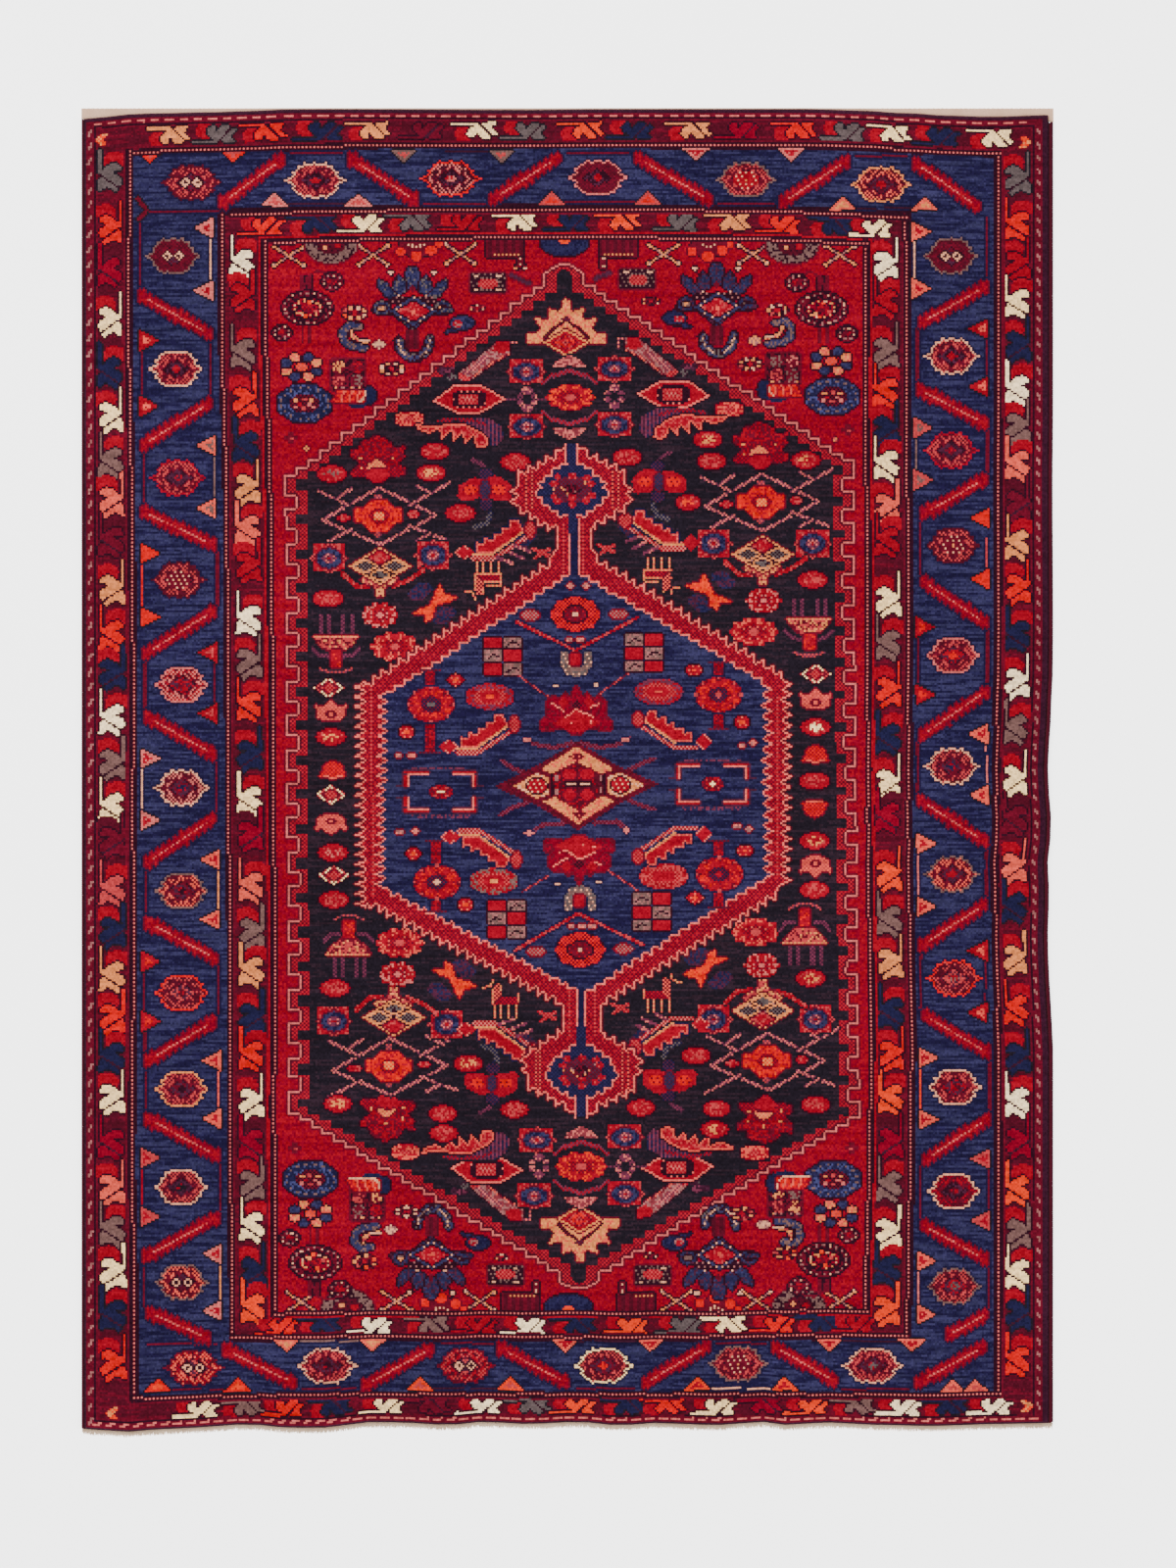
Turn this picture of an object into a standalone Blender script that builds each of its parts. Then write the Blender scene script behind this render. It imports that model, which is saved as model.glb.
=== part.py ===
"""A hand-knotted wool village rug lying flat on a floor.

Metres, +Z up. The origin is on the floor under the middle of the rug. Seen from above, +X points to its
right edge and +Y to its plain woven end. The short cut fringe is at -Y.
"""

import math
import random
from collections import namedtuple

import bmesh
import bpy
import numpy as np

# Overall size: across both selvedges, and from the woven end to the fringe's lowest tips.
RUG_WIDTH = 1.470
RUG_LENGTH = 2.012
PIECE_GAP = 0.0003

# The knotted cloth: cotton foundation and clipped wool pile together.
PILE_THICKNESS = 0.0090
PILE_COLUMNS = 44
PILE_ROWS = 56

# The overcast selvedges. The left one is narrow and the right one covers a pair of cords.
SELVEDGE_LEFT_WIDTH = 0.0045
SELVEDGE_RIGHT_WIDTH = 0.0080
SELVEDGE_HEIGHT = 0.0072
SELVEDGE_SIDES = 8
SELVEDGE_RIGHT_SHORT = 0.0100  # how far the right overcasting stops below the pile's top corner

# The plain woven end above the pile.
END_THICKNESS = 0.0026
END_CHAMFER = 0.0006
END_CORNER_STEP = 0.0006  # how far past the pile the end drops to the right overcasting

# The fringe below the pile: a narrow strip of foundation, and the cut warp ends that leave it.
FRINGE_REACH = 0.0105
FRINGE_STRIP_DEPTH = 0.0024
FRINGE_STRIP_HEIGHT = 0.0024
FRINGE_STRANDS = 240
STRAND_WIDTH = 0.0031
STRAND_TIP_WIDTH = 0.0020
STRAND_HEIGHT = 0.0016
STRAND_TIP_HEIGHT = 0.0011
STRAND_SWAY = 0.0014
STRAND_SHORTEST = 0.72  # a strand's length as a share of the longest
FRINGE_SEED = 7

MM = 0.001
Ring = namedtuple("Ring", "inset_mm height_share")
Station = namedtuple("Station", "at_mm depth_mm")

# The cloth's edge from the floor up: a tucked foot, an upright flank and a shoulder worn round.
# A height is a share of the cloth's thickness.
PILE_SECTION = (
    Ring(inset_mm=0.7, height_share=0.0),
    Ring(inset_mm=0.0, height_share=0.16),
    Ring(inset_mm=0.0, height_share=0.69),
    Ring(inset_mm=0.8, height_share=0.90),
    Ring(inset_mm=2.6, height_share=1.0),
)

# How far the pile stops below the outer edge of the woven end, at stations across the rug.
PILE_TOP_EDGE = (
    Station(at_mm=-735, depth_mm=17.5),
    Station(at_mm=-698, depth_mm=14.5),
    Station(at_mm=-663, depth_mm=10.5),
    Station(at_mm=-627, depth_mm=9.0),
    Station(at_mm=-540, depth_mm=7.2),
    Station(at_mm=-485, depth_mm=5.6),
    Station(at_mm=-430, depth_mm=3.0),
    Station(at_mm=-380, depth_mm=2.5),
    Station(at_mm=-60, depth_mm=3.6),
    Station(at_mm=60, depth_mm=2.6),
    Station(at_mm=370, depth_mm=2.5),
    Station(at_mm=440, depth_mm=4.6),
    Station(at_mm=510, depth_mm=8.6),
    Station(at_mm=583, depth_mm=12.8),
    Station(at_mm=640, depth_mm=14.4),
    Station(at_mm=735, depth_mm=11.5),
)

# How far the pile stops above the lowest fringe tip, at stations across the rug.
PILE_BOTTOM_EDGE = (
    Station(at_mm=-735, depth_mm=14.8),
    Station(at_mm=-663, depth_mm=10.4),
    Station(at_mm=-627, depth_mm=13.3),
    Station(at_mm=-574, depth_mm=16.3),
    Station(at_mm=-520, depth_mm=19.2),
    Station(at_mm=-485, depth_mm=22.2),
    Station(at_mm=-431, depth_mm=17.0),
    Station(at_mm=-378, depth_mm=16.3),
    Station(at_mm=-289, depth_mm=25.2),
    Station(at_mm=-236, depth_mm=23.7),
    Station(at_mm=-182, depth_mm=20.7),
    Station(at_mm=-129, depth_mm=25.2),
    Station(at_mm=-58, depth_mm=22.2),
    Station(at_mm=13, depth_mm=25.2),
    Station(at_mm=85, depth_mm=20.0),
    Station(at_mm=120, depth_mm=23.7),
    Station(at_mm=227, depth_mm=20.7),
    Station(at_mm=298, depth_mm=25.2),
    Station(at_mm=334, depth_mm=20.7),
    Station(at_mm=387, depth_mm=24.4),
    Station(at_mm=476, depth_mm=20.7),
    Station(at_mm=547, depth_mm=19.2),
    Station(at_mm=654, depth_mm=22.2),
    Station(at_mm=735, depth_mm=23.7),
)

# How far the right edge is drawn in, at stations along the rug.
RIGHT_DRAWN_IN = (
    Station(at_mm=-1006, depth_mm=0.0),
    Station(at_mm=-421, depth_mm=0.0),
    Station(at_mm=-373, depth_mm=1.9),
    Station(at_mm=-332, depth_mm=4.4),
    Station(at_mm=-296, depth_mm=6.7),
    Station(at_mm=-252, depth_mm=8.0),
    Station(at_mm=-181, depth_mm=6.0),
    Station(at_mm=-139, depth_mm=8.2),
    Station(at_mm=-109, depth_mm=4.4),
    Station(at_mm=-77, depth_mm=2.2),
    Station(at_mm=-47, depth_mm=5.0),
    Station(at_mm=-12, depth_mm=7.4),
    Station(at_mm=24, depth_mm=8.0),
    Station(at_mm=60, depth_mm=4.2),
    Station(at_mm=104, depth_mm=2.6),
    Station(at_mm=149, depth_mm=0.6),
    Station(at_mm=220, depth_mm=0.0),
    Station(at_mm=440, depth_mm=0.9),
    Station(at_mm=560, depth_mm=0.0),
    Station(at_mm=1006, depth_mm=0.0),
)


def depth_at(table, place):
    """A table's depth at a place along the edge, in metres, eased from one station to the next."""
    place_mm = place / MM
    if place_mm <= table[0].at_mm:
        return table[0].depth_mm * MM
    for near, far in zip(table, table[1:]):
        if place_mm <= far.at_mm:
            share = (place_mm - near.at_mm) / (far.at_mm - near.at_mm)
            eased = (1 - math.cos(math.pi * share)) / 2
            return (near.depth_mm + (far.depth_mm - near.depth_mm) * eased) * MM
    return table[-1].depth_mm * MM


def top_of_pile(x):
    return RUG_LENGTH / 2 - depth_at(PILE_TOP_EDGE, x)


def bottom_of_pile(x):
    return -RUG_LENGTH / 2 + depth_at(PILE_BOTTOM_EDGE, x)


def right_of_rug(y):
    return RUG_WIDTH / 2 - depth_at(RIGHT_DRAWN_IN, y)


def right_of_pile(y):
    return right_of_rug(y) - SELVEDGE_RIGHT_WIDTH - PIECE_GAP


def left_of_pile(_y):
    return -RUG_WIDTH / 2 + SELVEDGE_LEFT_WIDTH + PIECE_GAP


def spread(low, high, steps):
    """Evenly spaced values from low to high, both included."""
    return [low + (high - low) * step / steps for step in range(steps + 1)]


def end_points(edge_of_pile, end_y):
    """Points along one end of the pile, from left to right."""
    across = spread(left_of_pile(end_y), right_of_pile(end_y), PILE_COLUMNS)
    return [(x, edge_of_pile(x)) for x in across]


def side_points(side_of_pile, low_corner, high_corner):
    """Points along one side of the pile, from bottom to top, between two corners."""
    along = spread(low_corner[1], high_corner[1], PILE_ROWS)
    inner = [(side_of_pile(y), y) for y in along[1:-1]]
    return [low_corner] + inner + [high_corner]


BOTTOM_POINTS = end_points(bottom_of_pile, -RUG_LENGTH / 2)
TOP_POINTS = end_points(top_of_pile, RUG_LENGTH / 2)
LEFT_POINTS = side_points(left_of_pile, BOTTOM_POINTS[0], TOP_POINTS[0])
RIGHT_POINTS = side_points(right_of_pile, BOTTOM_POINTS[-1], TOP_POINTS[-1])


def clear_scene():
    for obj in list(bpy.data.objects):
        bpy.data.objects.remove(obj)


def make_material(name, colour, roughness):
    material = bpy.data.materials.new(name)
    material.use_nodes = True
    shader = material.node_tree.nodes["Principled BSDF"]
    shader.inputs["Base Color"].default_value = (*colour, 1.0)
    shader.inputs["Roughness"].default_value = roughness
    shader.inputs["Metallic"].default_value = 0.0
    material.diffuse_color = (*colour, 1.0)
    return material


def make_object(name, points, faces, material, smooth_angle=None):
    """One closed mesh object from its points and faces, with its faces turned outwards."""
    mesh = bpy.data.meshes.new(name)
    mesh.from_pydata(points, [], faces)
    shape = bmesh.new()
    shape.from_mesh(mesh)
    bmesh.ops.recalc_face_normals(shape, faces=shape.faces)
    shape.to_mesh(mesh)
    shape.free()
    mesh.materials.append(material)
    if smooth_angle is not None:
        mesh.shade_smooth()
        mesh.set_sharp_from_angle(angle=smooth_angle)
    obj = bpy.data.objects.new(name, mesh)
    bpy.context.scene.collection.objects.link(obj)
    return obj


def join_rings(rings):
    """Points and faces of a closed body whose sections are rings of equal length, with both ends capped."""
    count = len(rings[0])
    points = [point for ring in rings for point in ring]
    faces = [list(range(count)), list(range(len(points) - count, len(points)))]
    for level in range(len(rings) - 1):
        low = level * count
        high = low + count
        for place in range(count):
            after = (place + 1) % count
            faces.append([low + place, low + after, high + after, high + place])
    return points, faces


def pile_outline():
    """The pile's outline seen from above, counter-clockwise from its bottom left corner."""
    return BOTTOM_POINTS + RIGHT_POINTS[1:] + TOP_POINTS[-2::-1] + LEFT_POINTS[-2:0:-1]


def make_pile_cloth(material):
    outline = pile_outline()
    rings = []
    for inset_mm, height_share in PILE_SECTION:
        shrink_x = 1 - inset_mm * MM / (RUG_WIDTH / 2)
        shrink_y = 1 - inset_mm * MM / (RUG_LENGTH / 2)
        height = height_share * PILE_THICKNESS
        rings.append([(x * shrink_x, y * shrink_y, height) for x, y in outline])
    make_object("rug_body", *join_rings(rings), material)


def selvedge_section(middle, width, y):
    """The overcast edge's rounded section, flat where it lies on the floor."""
    half_step = math.pi / SELVEDGE_SIDES
    points = []
    for side in range(SELVEDGE_SIDES):
        angle = half_step * (2 * side + 1)
        x = middle + width / 2 * math.cos(angle) / math.cos(half_step)
        z = SELVEDGE_HEIGHT / 2 * (1 + math.sin(angle) / math.cos(half_step))
        points.append((x, y, z))
    return points


def make_selvedge(name, side, outward, width, short, material):
    """An overcast edge that follows one side of the pile; outward is -1 on the left and 1 on the right."""
    top = side[-1][1] - short
    places = [(x, y) for x, y in side if y < top]
    x_at_top = float(np.interp(top, [y for _x, y in side], [x for x, _y in side]))
    places.append((x_at_top, top))
    middle_offset = outward * (PIECE_GAP + width / 2)
    rings = [selvedge_section(x + middle_offset, width, y) for x, y in places]
    make_object(name, *join_rings(rings), material, smooth_angle=math.radians(50))


def end_section(x, inner_y):
    """The woven end's section across its width: flat below, with its outer upper edge chamfered."""
    outer_y = RUG_LENGTH / 2
    return [
        (x, inner_y, 0.0),
        (x, inner_y, END_THICKNESS),
        (x, outer_y - END_CHAMFER, END_THICKNESS),
        (x, outer_y, END_THICKNESS - END_CHAMFER),
        (x, outer_y, 0.0),
    ]


def make_woven_end(material):
    left_corner = TOP_POINTS[0][1] + PIECE_GAP
    right_corner = TOP_POINTS[-1][1] - SELVEDGE_RIGHT_SHORT + PIECE_GAP
    inner = [(-RUG_WIDTH / 2, left_corner)]
    inner += [(x, y + PIECE_GAP) for x, y in TOP_POINTS]
    inner += [(TOP_POINTS[-1][0] + END_CORNER_STEP, right_corner), (RUG_WIDTH / 2, right_corner)]
    rings = [end_section(x, y) for x, y in inner]
    make_object("end_strip_top", *join_rings(rings), material)


def inner_edge_of_fringe(x):
    xs = [point[0] for point in BOTTOM_POINTS]
    ys = [point[1] for point in BOTTOM_POINTS]
    return float(np.interp(x, xs, ys)) - PIECE_GAP


def strip_section(x):
    """The fringe strip's section: upright against the pile, lower where the strands leave it."""
    inner_y = inner_edge_of_fringe(x)
    outer_y = inner_y - FRINGE_STRIP_DEPTH
    return [
        (x, inner_y, 0.0),
        (x, inner_y, FRINGE_STRIP_HEIGHT),
        (x, outer_y, STRAND_HEIGHT),
        (x, outer_y, 0.0),
    ]


def strand_ring(middle, y, width, height):
    """A strand's four-sided section in the order of its root: left high, left low, right low, right high."""
    left = middle - width / 2
    right = middle + width / 2
    return [(left, y, height), (left, y, 0.0), (right, y, 0.0), (right, y, height)]


def make_fringe(material):
    """The strip and its strands as one body: each strand grows from a face of the strip's outer side."""
    draw = random.Random(FRINGE_SEED)
    pitch = (RUG_WIDTH - STRAND_WIDTH) / FRINGE_STRANDS
    first = -RUG_WIDTH / 2 + STRAND_WIDTH / 2 + pitch / 2
    columns = [-RUG_WIDTH / 2]
    for strand in range(FRINGE_STRANDS):
        middle = first + strand * pitch
        columns += [middle - STRAND_WIDTH / 2, middle + STRAND_WIDTH / 2]
    columns.append(RUG_WIDTH / 2)

    points = [point for x in columns for point in strip_section(x)]
    corners = 4
    last = (len(columns) - 1) * corners
    faces = [[0, 1, 2, 3], [last, last + 1, last + 2, last + 3]]
    for column in range(len(columns) - 1):
        near = column * corners
        far = near + corners
        faces.append([near, near + 1, far + 1, far])
        faces.append([near + 1, near + 2, far + 2, far + 1])
        faces.append([near + 3, near, far, far + 3])
        root = [near + 2, near + 3, far + 3, far + 2]
        if column % 2 == 0:
            faces.append(root)
            continue
        middle = (columns[column] + columns[column + 1]) / 2
        root_y = inner_edge_of_fringe(middle) - FRINGE_STRIP_DEPTH
        length = (FRINGE_REACH - FRINGE_STRIP_DEPTH) * draw.uniform(STRAND_SHORTEST, 1.0)
        sway = STRAND_SWAY * draw.uniform(-1.0, 1.0)
        half_way = strand_ring(middle + sway / 3, root_y - length / 2, STRAND_WIDTH, STRAND_HEIGHT)
        tip = strand_ring(middle + sway, root_y - length, STRAND_TIP_WIDTH, STRAND_TIP_HEIGHT)
        rings = [root]
        for ring in (half_way, tip):
            rings.append(list(range(len(points), len(points) + corners)))
            points += ring
        for inner_ring, outer_ring in zip(rings, rings[1:]):
            for place in range(corners):
                after = (place + 1) % corners
                faces.append([inner_ring[place], inner_ring[after], outer_ring[after], outer_ring[place]])
        faces.append(rings[-1])
    make_object("fringe_bottom", points, faces, material)


def build_rug():
    clear_scene()
    pile = make_material("pile", (0.36, 0.02, 0.04), 0.92)
    selvedge = make_material("selvedge", (0.07, 0.02, 0.05), 0.9)
    cotton = make_material("cotton_end", (0.70, 0.58, 0.44), 0.9)
    warp = make_material("cotton_fringe", (0.76, 0.70, 0.60), 0.9)
    make_pile_cloth(pile)
    make_selvedge("selvedge_left", LEFT_POINTS, -1, SELVEDGE_LEFT_WIDTH, 0.0, selvedge)
    make_selvedge(
        "selvedge_right", RIGHT_POINTS, 1, SELVEDGE_RIGHT_WIDTH, SELVEDGE_RIGHT_SHORT, selvedge
    )
    make_woven_end(cotton)
    make_fringe(warp)


build_rug()
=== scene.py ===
"""The looks of a hand-knotted wool rug: pile, back, wrapped edges, woven end and cotton fringe.

The design is a knot chart. The drawing functions below fill it, and every knot of it becomes one
face of the pile, which takes its dye from the chart. Places on the rug are written in plan units:
a plan unit is one pixel of the 1200 x 1600 photograph and 1.4825 mm of rug, x to the right and y
down, and a knot is two of them each way.
"""

import math

import bpy
import numpy as np
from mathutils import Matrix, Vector


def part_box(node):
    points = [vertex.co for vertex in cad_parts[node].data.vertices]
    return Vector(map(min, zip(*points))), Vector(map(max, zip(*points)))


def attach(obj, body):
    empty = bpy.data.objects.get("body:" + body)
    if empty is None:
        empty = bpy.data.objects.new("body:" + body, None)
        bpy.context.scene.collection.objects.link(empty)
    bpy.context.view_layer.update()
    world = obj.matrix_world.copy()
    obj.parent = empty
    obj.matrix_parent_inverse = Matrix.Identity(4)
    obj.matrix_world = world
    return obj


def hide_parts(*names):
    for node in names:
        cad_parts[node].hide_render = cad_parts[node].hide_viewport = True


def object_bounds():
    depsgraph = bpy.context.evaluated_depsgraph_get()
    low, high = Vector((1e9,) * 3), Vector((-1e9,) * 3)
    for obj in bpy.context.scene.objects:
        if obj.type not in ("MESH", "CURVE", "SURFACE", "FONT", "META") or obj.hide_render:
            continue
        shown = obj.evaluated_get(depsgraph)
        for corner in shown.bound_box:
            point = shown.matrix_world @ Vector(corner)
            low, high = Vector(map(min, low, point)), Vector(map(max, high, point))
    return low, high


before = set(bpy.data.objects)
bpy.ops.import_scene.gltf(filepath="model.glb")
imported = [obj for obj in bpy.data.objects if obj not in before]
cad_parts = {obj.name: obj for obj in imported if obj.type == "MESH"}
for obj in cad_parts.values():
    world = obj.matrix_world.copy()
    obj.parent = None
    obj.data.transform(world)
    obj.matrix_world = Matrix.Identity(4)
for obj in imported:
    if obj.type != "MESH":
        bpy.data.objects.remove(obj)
lowest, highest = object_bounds()

PLAN_UNIT = 0.0014825            # metres of rug
PLAN_MIDDLE = (579.0, 788.9)     # the plan place of the frame's origin
KNOT_STEP = 2                    # plan units from knot to knot
KNOT_COLUMNS = 492
KNOT_ROWS = 671
CHART_LEFT = 86                  # plan x where the first column of knots starts
CHART_TOP = 111                  # plan y where the first row starts
SETTLED_LEFT = 330               # plan places between which the rug's uneven sides shift no knot
SETTLED_RIGHT = 830
SETTLED_TOP = 330
SETTLED_BOTTOM = 1250


# ---------------------------------------------------------------- the outline, from the CAD body

SIDE_SLACK = (0.012, 0.020)      # how far a side wanders, in metres across and along the rug
FOOT_LEVEL = (1.3, 1.6)          # the heights in mm between which the body has one ring of points


def edge_points(node_name, low_mm, high_mm):
    """The points of a CAD node between two heights, as rows of x and y in metres."""
    points = np.array([v.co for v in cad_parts[node_name].data.vertices])
    chosen = (points[:, 2] > low_mm / 1000) & (points[:, 2] < high_mm / 1000)
    return points[chosen][:, :2]


def side_profile(points, axis, upper):
    """The side of a ring of points that lies furthest along an axis, as (place, reach) to interpolate."""
    reach = points[:, axis]
    slack = SIDE_SLACK[axis]
    chosen = reach > reach.max() - slack if upper else reach < reach.min() + slack
    along = points[chosen][:, 1 - axis]
    order = np.argsort(along)
    return along[order], reach[chosen][order]


body_ring = edge_points("rug_body", *FOOT_LEVEL)
PILE_SIDES = {
    "left": side_profile(body_ring, 0, False),
    "right": side_profile(body_ring, 0, True),
    "top": side_profile(body_ring, 1, True),
    "bottom": side_profile(body_ring, 1, False),
}


def side_at(name, along):
    """How far the pile's left, right, top or bottom side reaches at a place along it, in metres."""
    places, reach = PILE_SIDES[name]
    return np.interp(along, places, reach)


def to_plan(x, y):
    """Plan units of a place in metres."""
    return x / PLAN_UNIT + PLAN_MIDDLE[0], PLAN_MIDDLE[1] - y / PLAN_UNIT


def to_metres(x, y):
    """Metres of a place in plan units."""
    return (x - PLAN_MIDDLE[0]) * PLAN_UNIT, (PLAN_MIDDLE[1] - y) * PLAN_UNIT


def knot_corners():
    """Plan x and y of every corner between knots, drawn in or let out to the outline near each side."""
    x = CHART_LEFT + KNOT_STEP * np.arange(KNOT_COLUMNS + 1, dtype=float)
    y = CHART_TOP + KNOT_STEP * np.arange(KNOT_ROWS + 1, dtype=float)
    x, y = np.meshgrid(x, y)
    across, along = to_metres(x, y)
    left = to_plan(side_at("left", along), 0)[0]
    right = to_plan(side_at("right", along), 0)[0]
    top = to_plan(0, side_at("top", across))[1]
    bottom = to_plan(0, side_at("bottom", across))[1]
    last_x = x[0, -1]
    last_y = y[-1, 0]
    near_left = left + (x - CHART_LEFT) * (SETTLED_LEFT - left) / (SETTLED_LEFT - CHART_LEFT)
    near_right = right - (last_x - x) * (right - SETTLED_RIGHT) / (last_x - SETTLED_RIGHT)
    near_top = top + (y - CHART_TOP) * (SETTLED_TOP - top) / (SETTLED_TOP - CHART_TOP)
    near_bottom = bottom - (last_y - y) * (bottom - SETTLED_BOTTOM) / (last_y - SETTLED_BOTTOM)
    placed_x = np.where(x < SETTLED_LEFT, near_left, np.where(x > SETTLED_RIGHT, near_right, x))
    placed_y = np.where(y < SETTLED_TOP, near_top, np.where(y > SETTLED_BOTTOM, near_bottom, y))
    return placed_x, placed_y


corner_x, corner_y = knot_corners()


# ---------------------------------------------------------------- dyes

DYES = {
    "night": "1b141d",
    "night_light": "291a24",
    "shade": "280818",
    "plum_dark": "321022",
    "wine": "470a1b",
    "maroon": "5a0a1e",
    "crimson": "890319",
    "red": "90031d",
    "vermilion": "c4060a",
    "coral": "ab3437",
    "salmon": "d04b3c",
    "orange": "d8300c",
    "pink": "be5a54",
    "cream": "ffd494",
    "ivory": "ffe0b0",
    "tan": "d27844",
    "grey": "534646",
    "taupe": "684a46",
    "blue": "221e3e",
    "blue_light": "2d2a4a",
    "blue_deep": "181231",
    "navy": "1a1836",
    "plum": "41192e",
    "mauve": "63273c",
    "rose": "d85e52",
    "blush": "8e5654",
    "brick": "9a1423",
    "flower": "762a33",
    "oat": "d69170",
    "crimson_deep": "77031c",
    "blue_pale": "3a3b64",
}
DYE_NUMBER = {name: number for number, name in enumerate(DYES)}


# ---------------------------------------------------------------- the chart and how it is drawn on

chart = np.zeros((KNOT_ROWS, KNOT_COLUMNS), np.uint8)
plan_x = (corner_x[:-1, :-1] + corner_x[1:, 1:]) / 2
plan_y = (corner_y[:-1, :-1] + corner_y[1:, 1:]) / 2
column_number, row_number = np.meshgrid(np.arange(KNOT_COLUMNS), np.arange(KNOT_ROWS))

# How the dotted lines wander: (plan y, plan x) down the sides, (plan x, plan y) along the ends.
WANDER_LEFT = (
    ((155, 132.8), (350, 131.8), (470, 134.3), (710, 137.0), (830, 136.0), (950, 137.2), (1190, 135.0),
     (1310, 137.9), (1426, 137.8)),
    ((222, 226.2), (350, 226.6), (470, 230.7), (590, 232.3), (830, 233.6), (950, 235.3), (1190, 235.7),
     (1363, 238.0)),
    ((248, 270.5), (350, 271.6), (470, 275.4), (590, 277.8), (830, 279.0), (950, 281.4), (1130, 279.8),
     (1310, 281.8)),
)
WANDER_RIGHT = (
    ((158, 1017.9), (590, 1018.7), (770, 1016.9), (890, 1014.7), (1010, 1017.5), (1250, 1019.2),
     (1422, 1017.8)),
    ((222, 923.5), (470, 925.0), (650, 927.0), (830, 926.2), (1070, 930.0), (1250, 927.3), (1363, 924.8)),
    ((248, 883.5), (410, 882.0), (590, 885.5), (830, 885.1), (1070, 888.6), (1190, 887.1), (1310, 882.7)),
)
WANDER_TOP = (
    ((133, 157.0), (190, 153.9), (260, 151.8), (340, 150.1), (400, 148.6), (820, 149.1), (890, 151.3),
     (930, 154.5), (1018, 158.0)),
    ((226, 220.8), (290, 217.8), (340, 216.6), (400, 215.5), (640, 214.9), (760, 215.9), (820, 217.5),
     (890, 221.0), (922, 222.0)),
    ((270, 248.8), (340, 245.9), (460, 243.7), (640, 243.0), (760, 244.5), (820, 246.5), (883, 250.0)),
)
WANDER_BOTTOM = (
    ((137, 1426.5), (230, 1424.0), (340, 1422.0), (930, 1422.5), (1018, 1422.0)),
    ((236, 1365.0), (340, 1363.0), (640, 1364.0), (820, 1362.3), (925, 1362.2)),
    ((281, 1342.0), (300, 1339.4), (760, 1339.2), (820, 1336.6), (884, 1338.0)),
)
# Where those lines run in band units, which are plan units on a rug with straight bands.
BAND_LEFT = (133, 232, 278)
BAND_RIGHT = (1018, 927, 885)
BAND_TOP = (150, 217, 246)
BAND_BOTTOM = (1422, 1363, 1339)
BAND_EDGES = (84, 1070, 112, 1454)   # left, right, top and bottom of the pile in band units
CALM_X = (340, 820)                  # between these the two units are the same
CALM_Y = (330, 1260)


def wander(lines, place):
    """Where each line of a table lies at a place along it."""
    return [float(np.interp(place, *zip(*line))) for line in lines]


def band_units():
    """Every knot's place in band units, in which the borders' lines are straight."""
    across = np.empty_like(plan_x)
    along = np.empty_like(plan_y)
    for row in range(KNOT_ROWS):
        middle = plan_y[row, KNOT_COLUMNS // 2]
        found = [plan_x[row, 0] - 1, *wander(WANDER_LEFT, middle), *CALM_X]
        found += [*wander(WANDER_RIGHT, middle)[::-1], plan_x[row, -1] + 1]
        meant = [BAND_EDGES[0], *BAND_LEFT, *CALM_X, *BAND_RIGHT[::-1], BAND_EDGES[1]]
        across[row] = np.interp(plan_x[row], found, meant)
    for column in range(KNOT_COLUMNS):
        middle = plan_x[KNOT_ROWS // 2, column]
        found = [plan_y[0, column] - 1, *wander(WANDER_TOP, middle), *CALM_Y]
        found += [*wander(WANDER_BOTTOM, middle)[::-1], plan_y[-1, column] + 1]
        meant = [BAND_EDGES[2], *BAND_TOP, *CALM_Y, *BAND_BOTTOM[::-1], BAND_EDGES[3]]
        along[:, column] = np.interp(plan_y[:, column], found, meant)
    return across, along


band_x, band_y = band_units()
PLAN = (plan_x, plan_y)
BAND = (band_x, band_y)
WINDOW_SLACK = 4   # knots by which a place may be off its even row or column


def window(box, grid, margin=0):
    """The slice of the chart round a box, and the knots' places there on the plan or band grid."""
    reach = WINDOW_SLACK + margin
    rows = slice(
        max(0, int((box[1] - CHART_TOP) / KNOT_STEP) - reach),
        max(0, int((box[3] - CHART_TOP) / KNOT_STEP) + reach + 1),
    )
    columns = slice(
        max(0, int((box[0] - CHART_LEFT) / KNOT_STEP) - reach),
        max(0, int((box[2] - CHART_LEFT) / KNOT_STEP) + reach + 1),
    )
    area = (rows, columns)
    return area, grid[0][area], grid[1][area]


STREAK_LENGTH = 12     # knots
STREAK_SHARE = 0.038   # how far from the mean a knot's value is where a streak starts
CLOUD_DEPTH = 0.035    # how much larger clouds lighten or darken a ground
scatter = np.random.default_rng(7).random(chart.shape)
streaks = sum(np.roll(scatter, shift, axis=1) for shift in range(STREAK_LENGTH)) / STREAK_LENGTH
streaks = streaks + CLOUD_DEPTH * np.sin(plan_x / 41 + 2.2) * np.cos(plan_y / 53 + 0.6)
PATTERNS = {
    "light_streaks": lambda row, column: streaks[row, column] > 0.5 + STREAK_SHARE,
    "dark_streaks": lambda row, column: streaks[row, column] < 0.5 - STREAK_SHARE,
    "fleck": lambda row, column: scatter[row, column] < 0.3,
    "mottle": lambda row, column: scatter[row, column] < 0.5,
    "check": lambda row, column: (row + column) % 2 == 0,
    "rows": lambda row, column: row % 2 == 0,
    "columns": lambda row, column: column % 2 == 0,
    "seeds": lambda row, column: (row % 2 == 0) & ((column + row // 2 * 2) % 3 == 0),
    "stripes": lambda row, column: column % 4 < 2,
}


def dyes_for(area, dye):
    """Dye numbers for an area. A dye is a name, with others after it, each with the pattern it shows in."""
    first, *others = dye.split()
    numbers = np.full(chart[area].shape, DYE_NUMBER[first], np.uint8)
    for other in others:
        name, pattern = other.split(":")
        numbers[PATTERNS[pattern](row_number[area], column_number[area])] = DYE_NUMBER[name]
    return numbers


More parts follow.
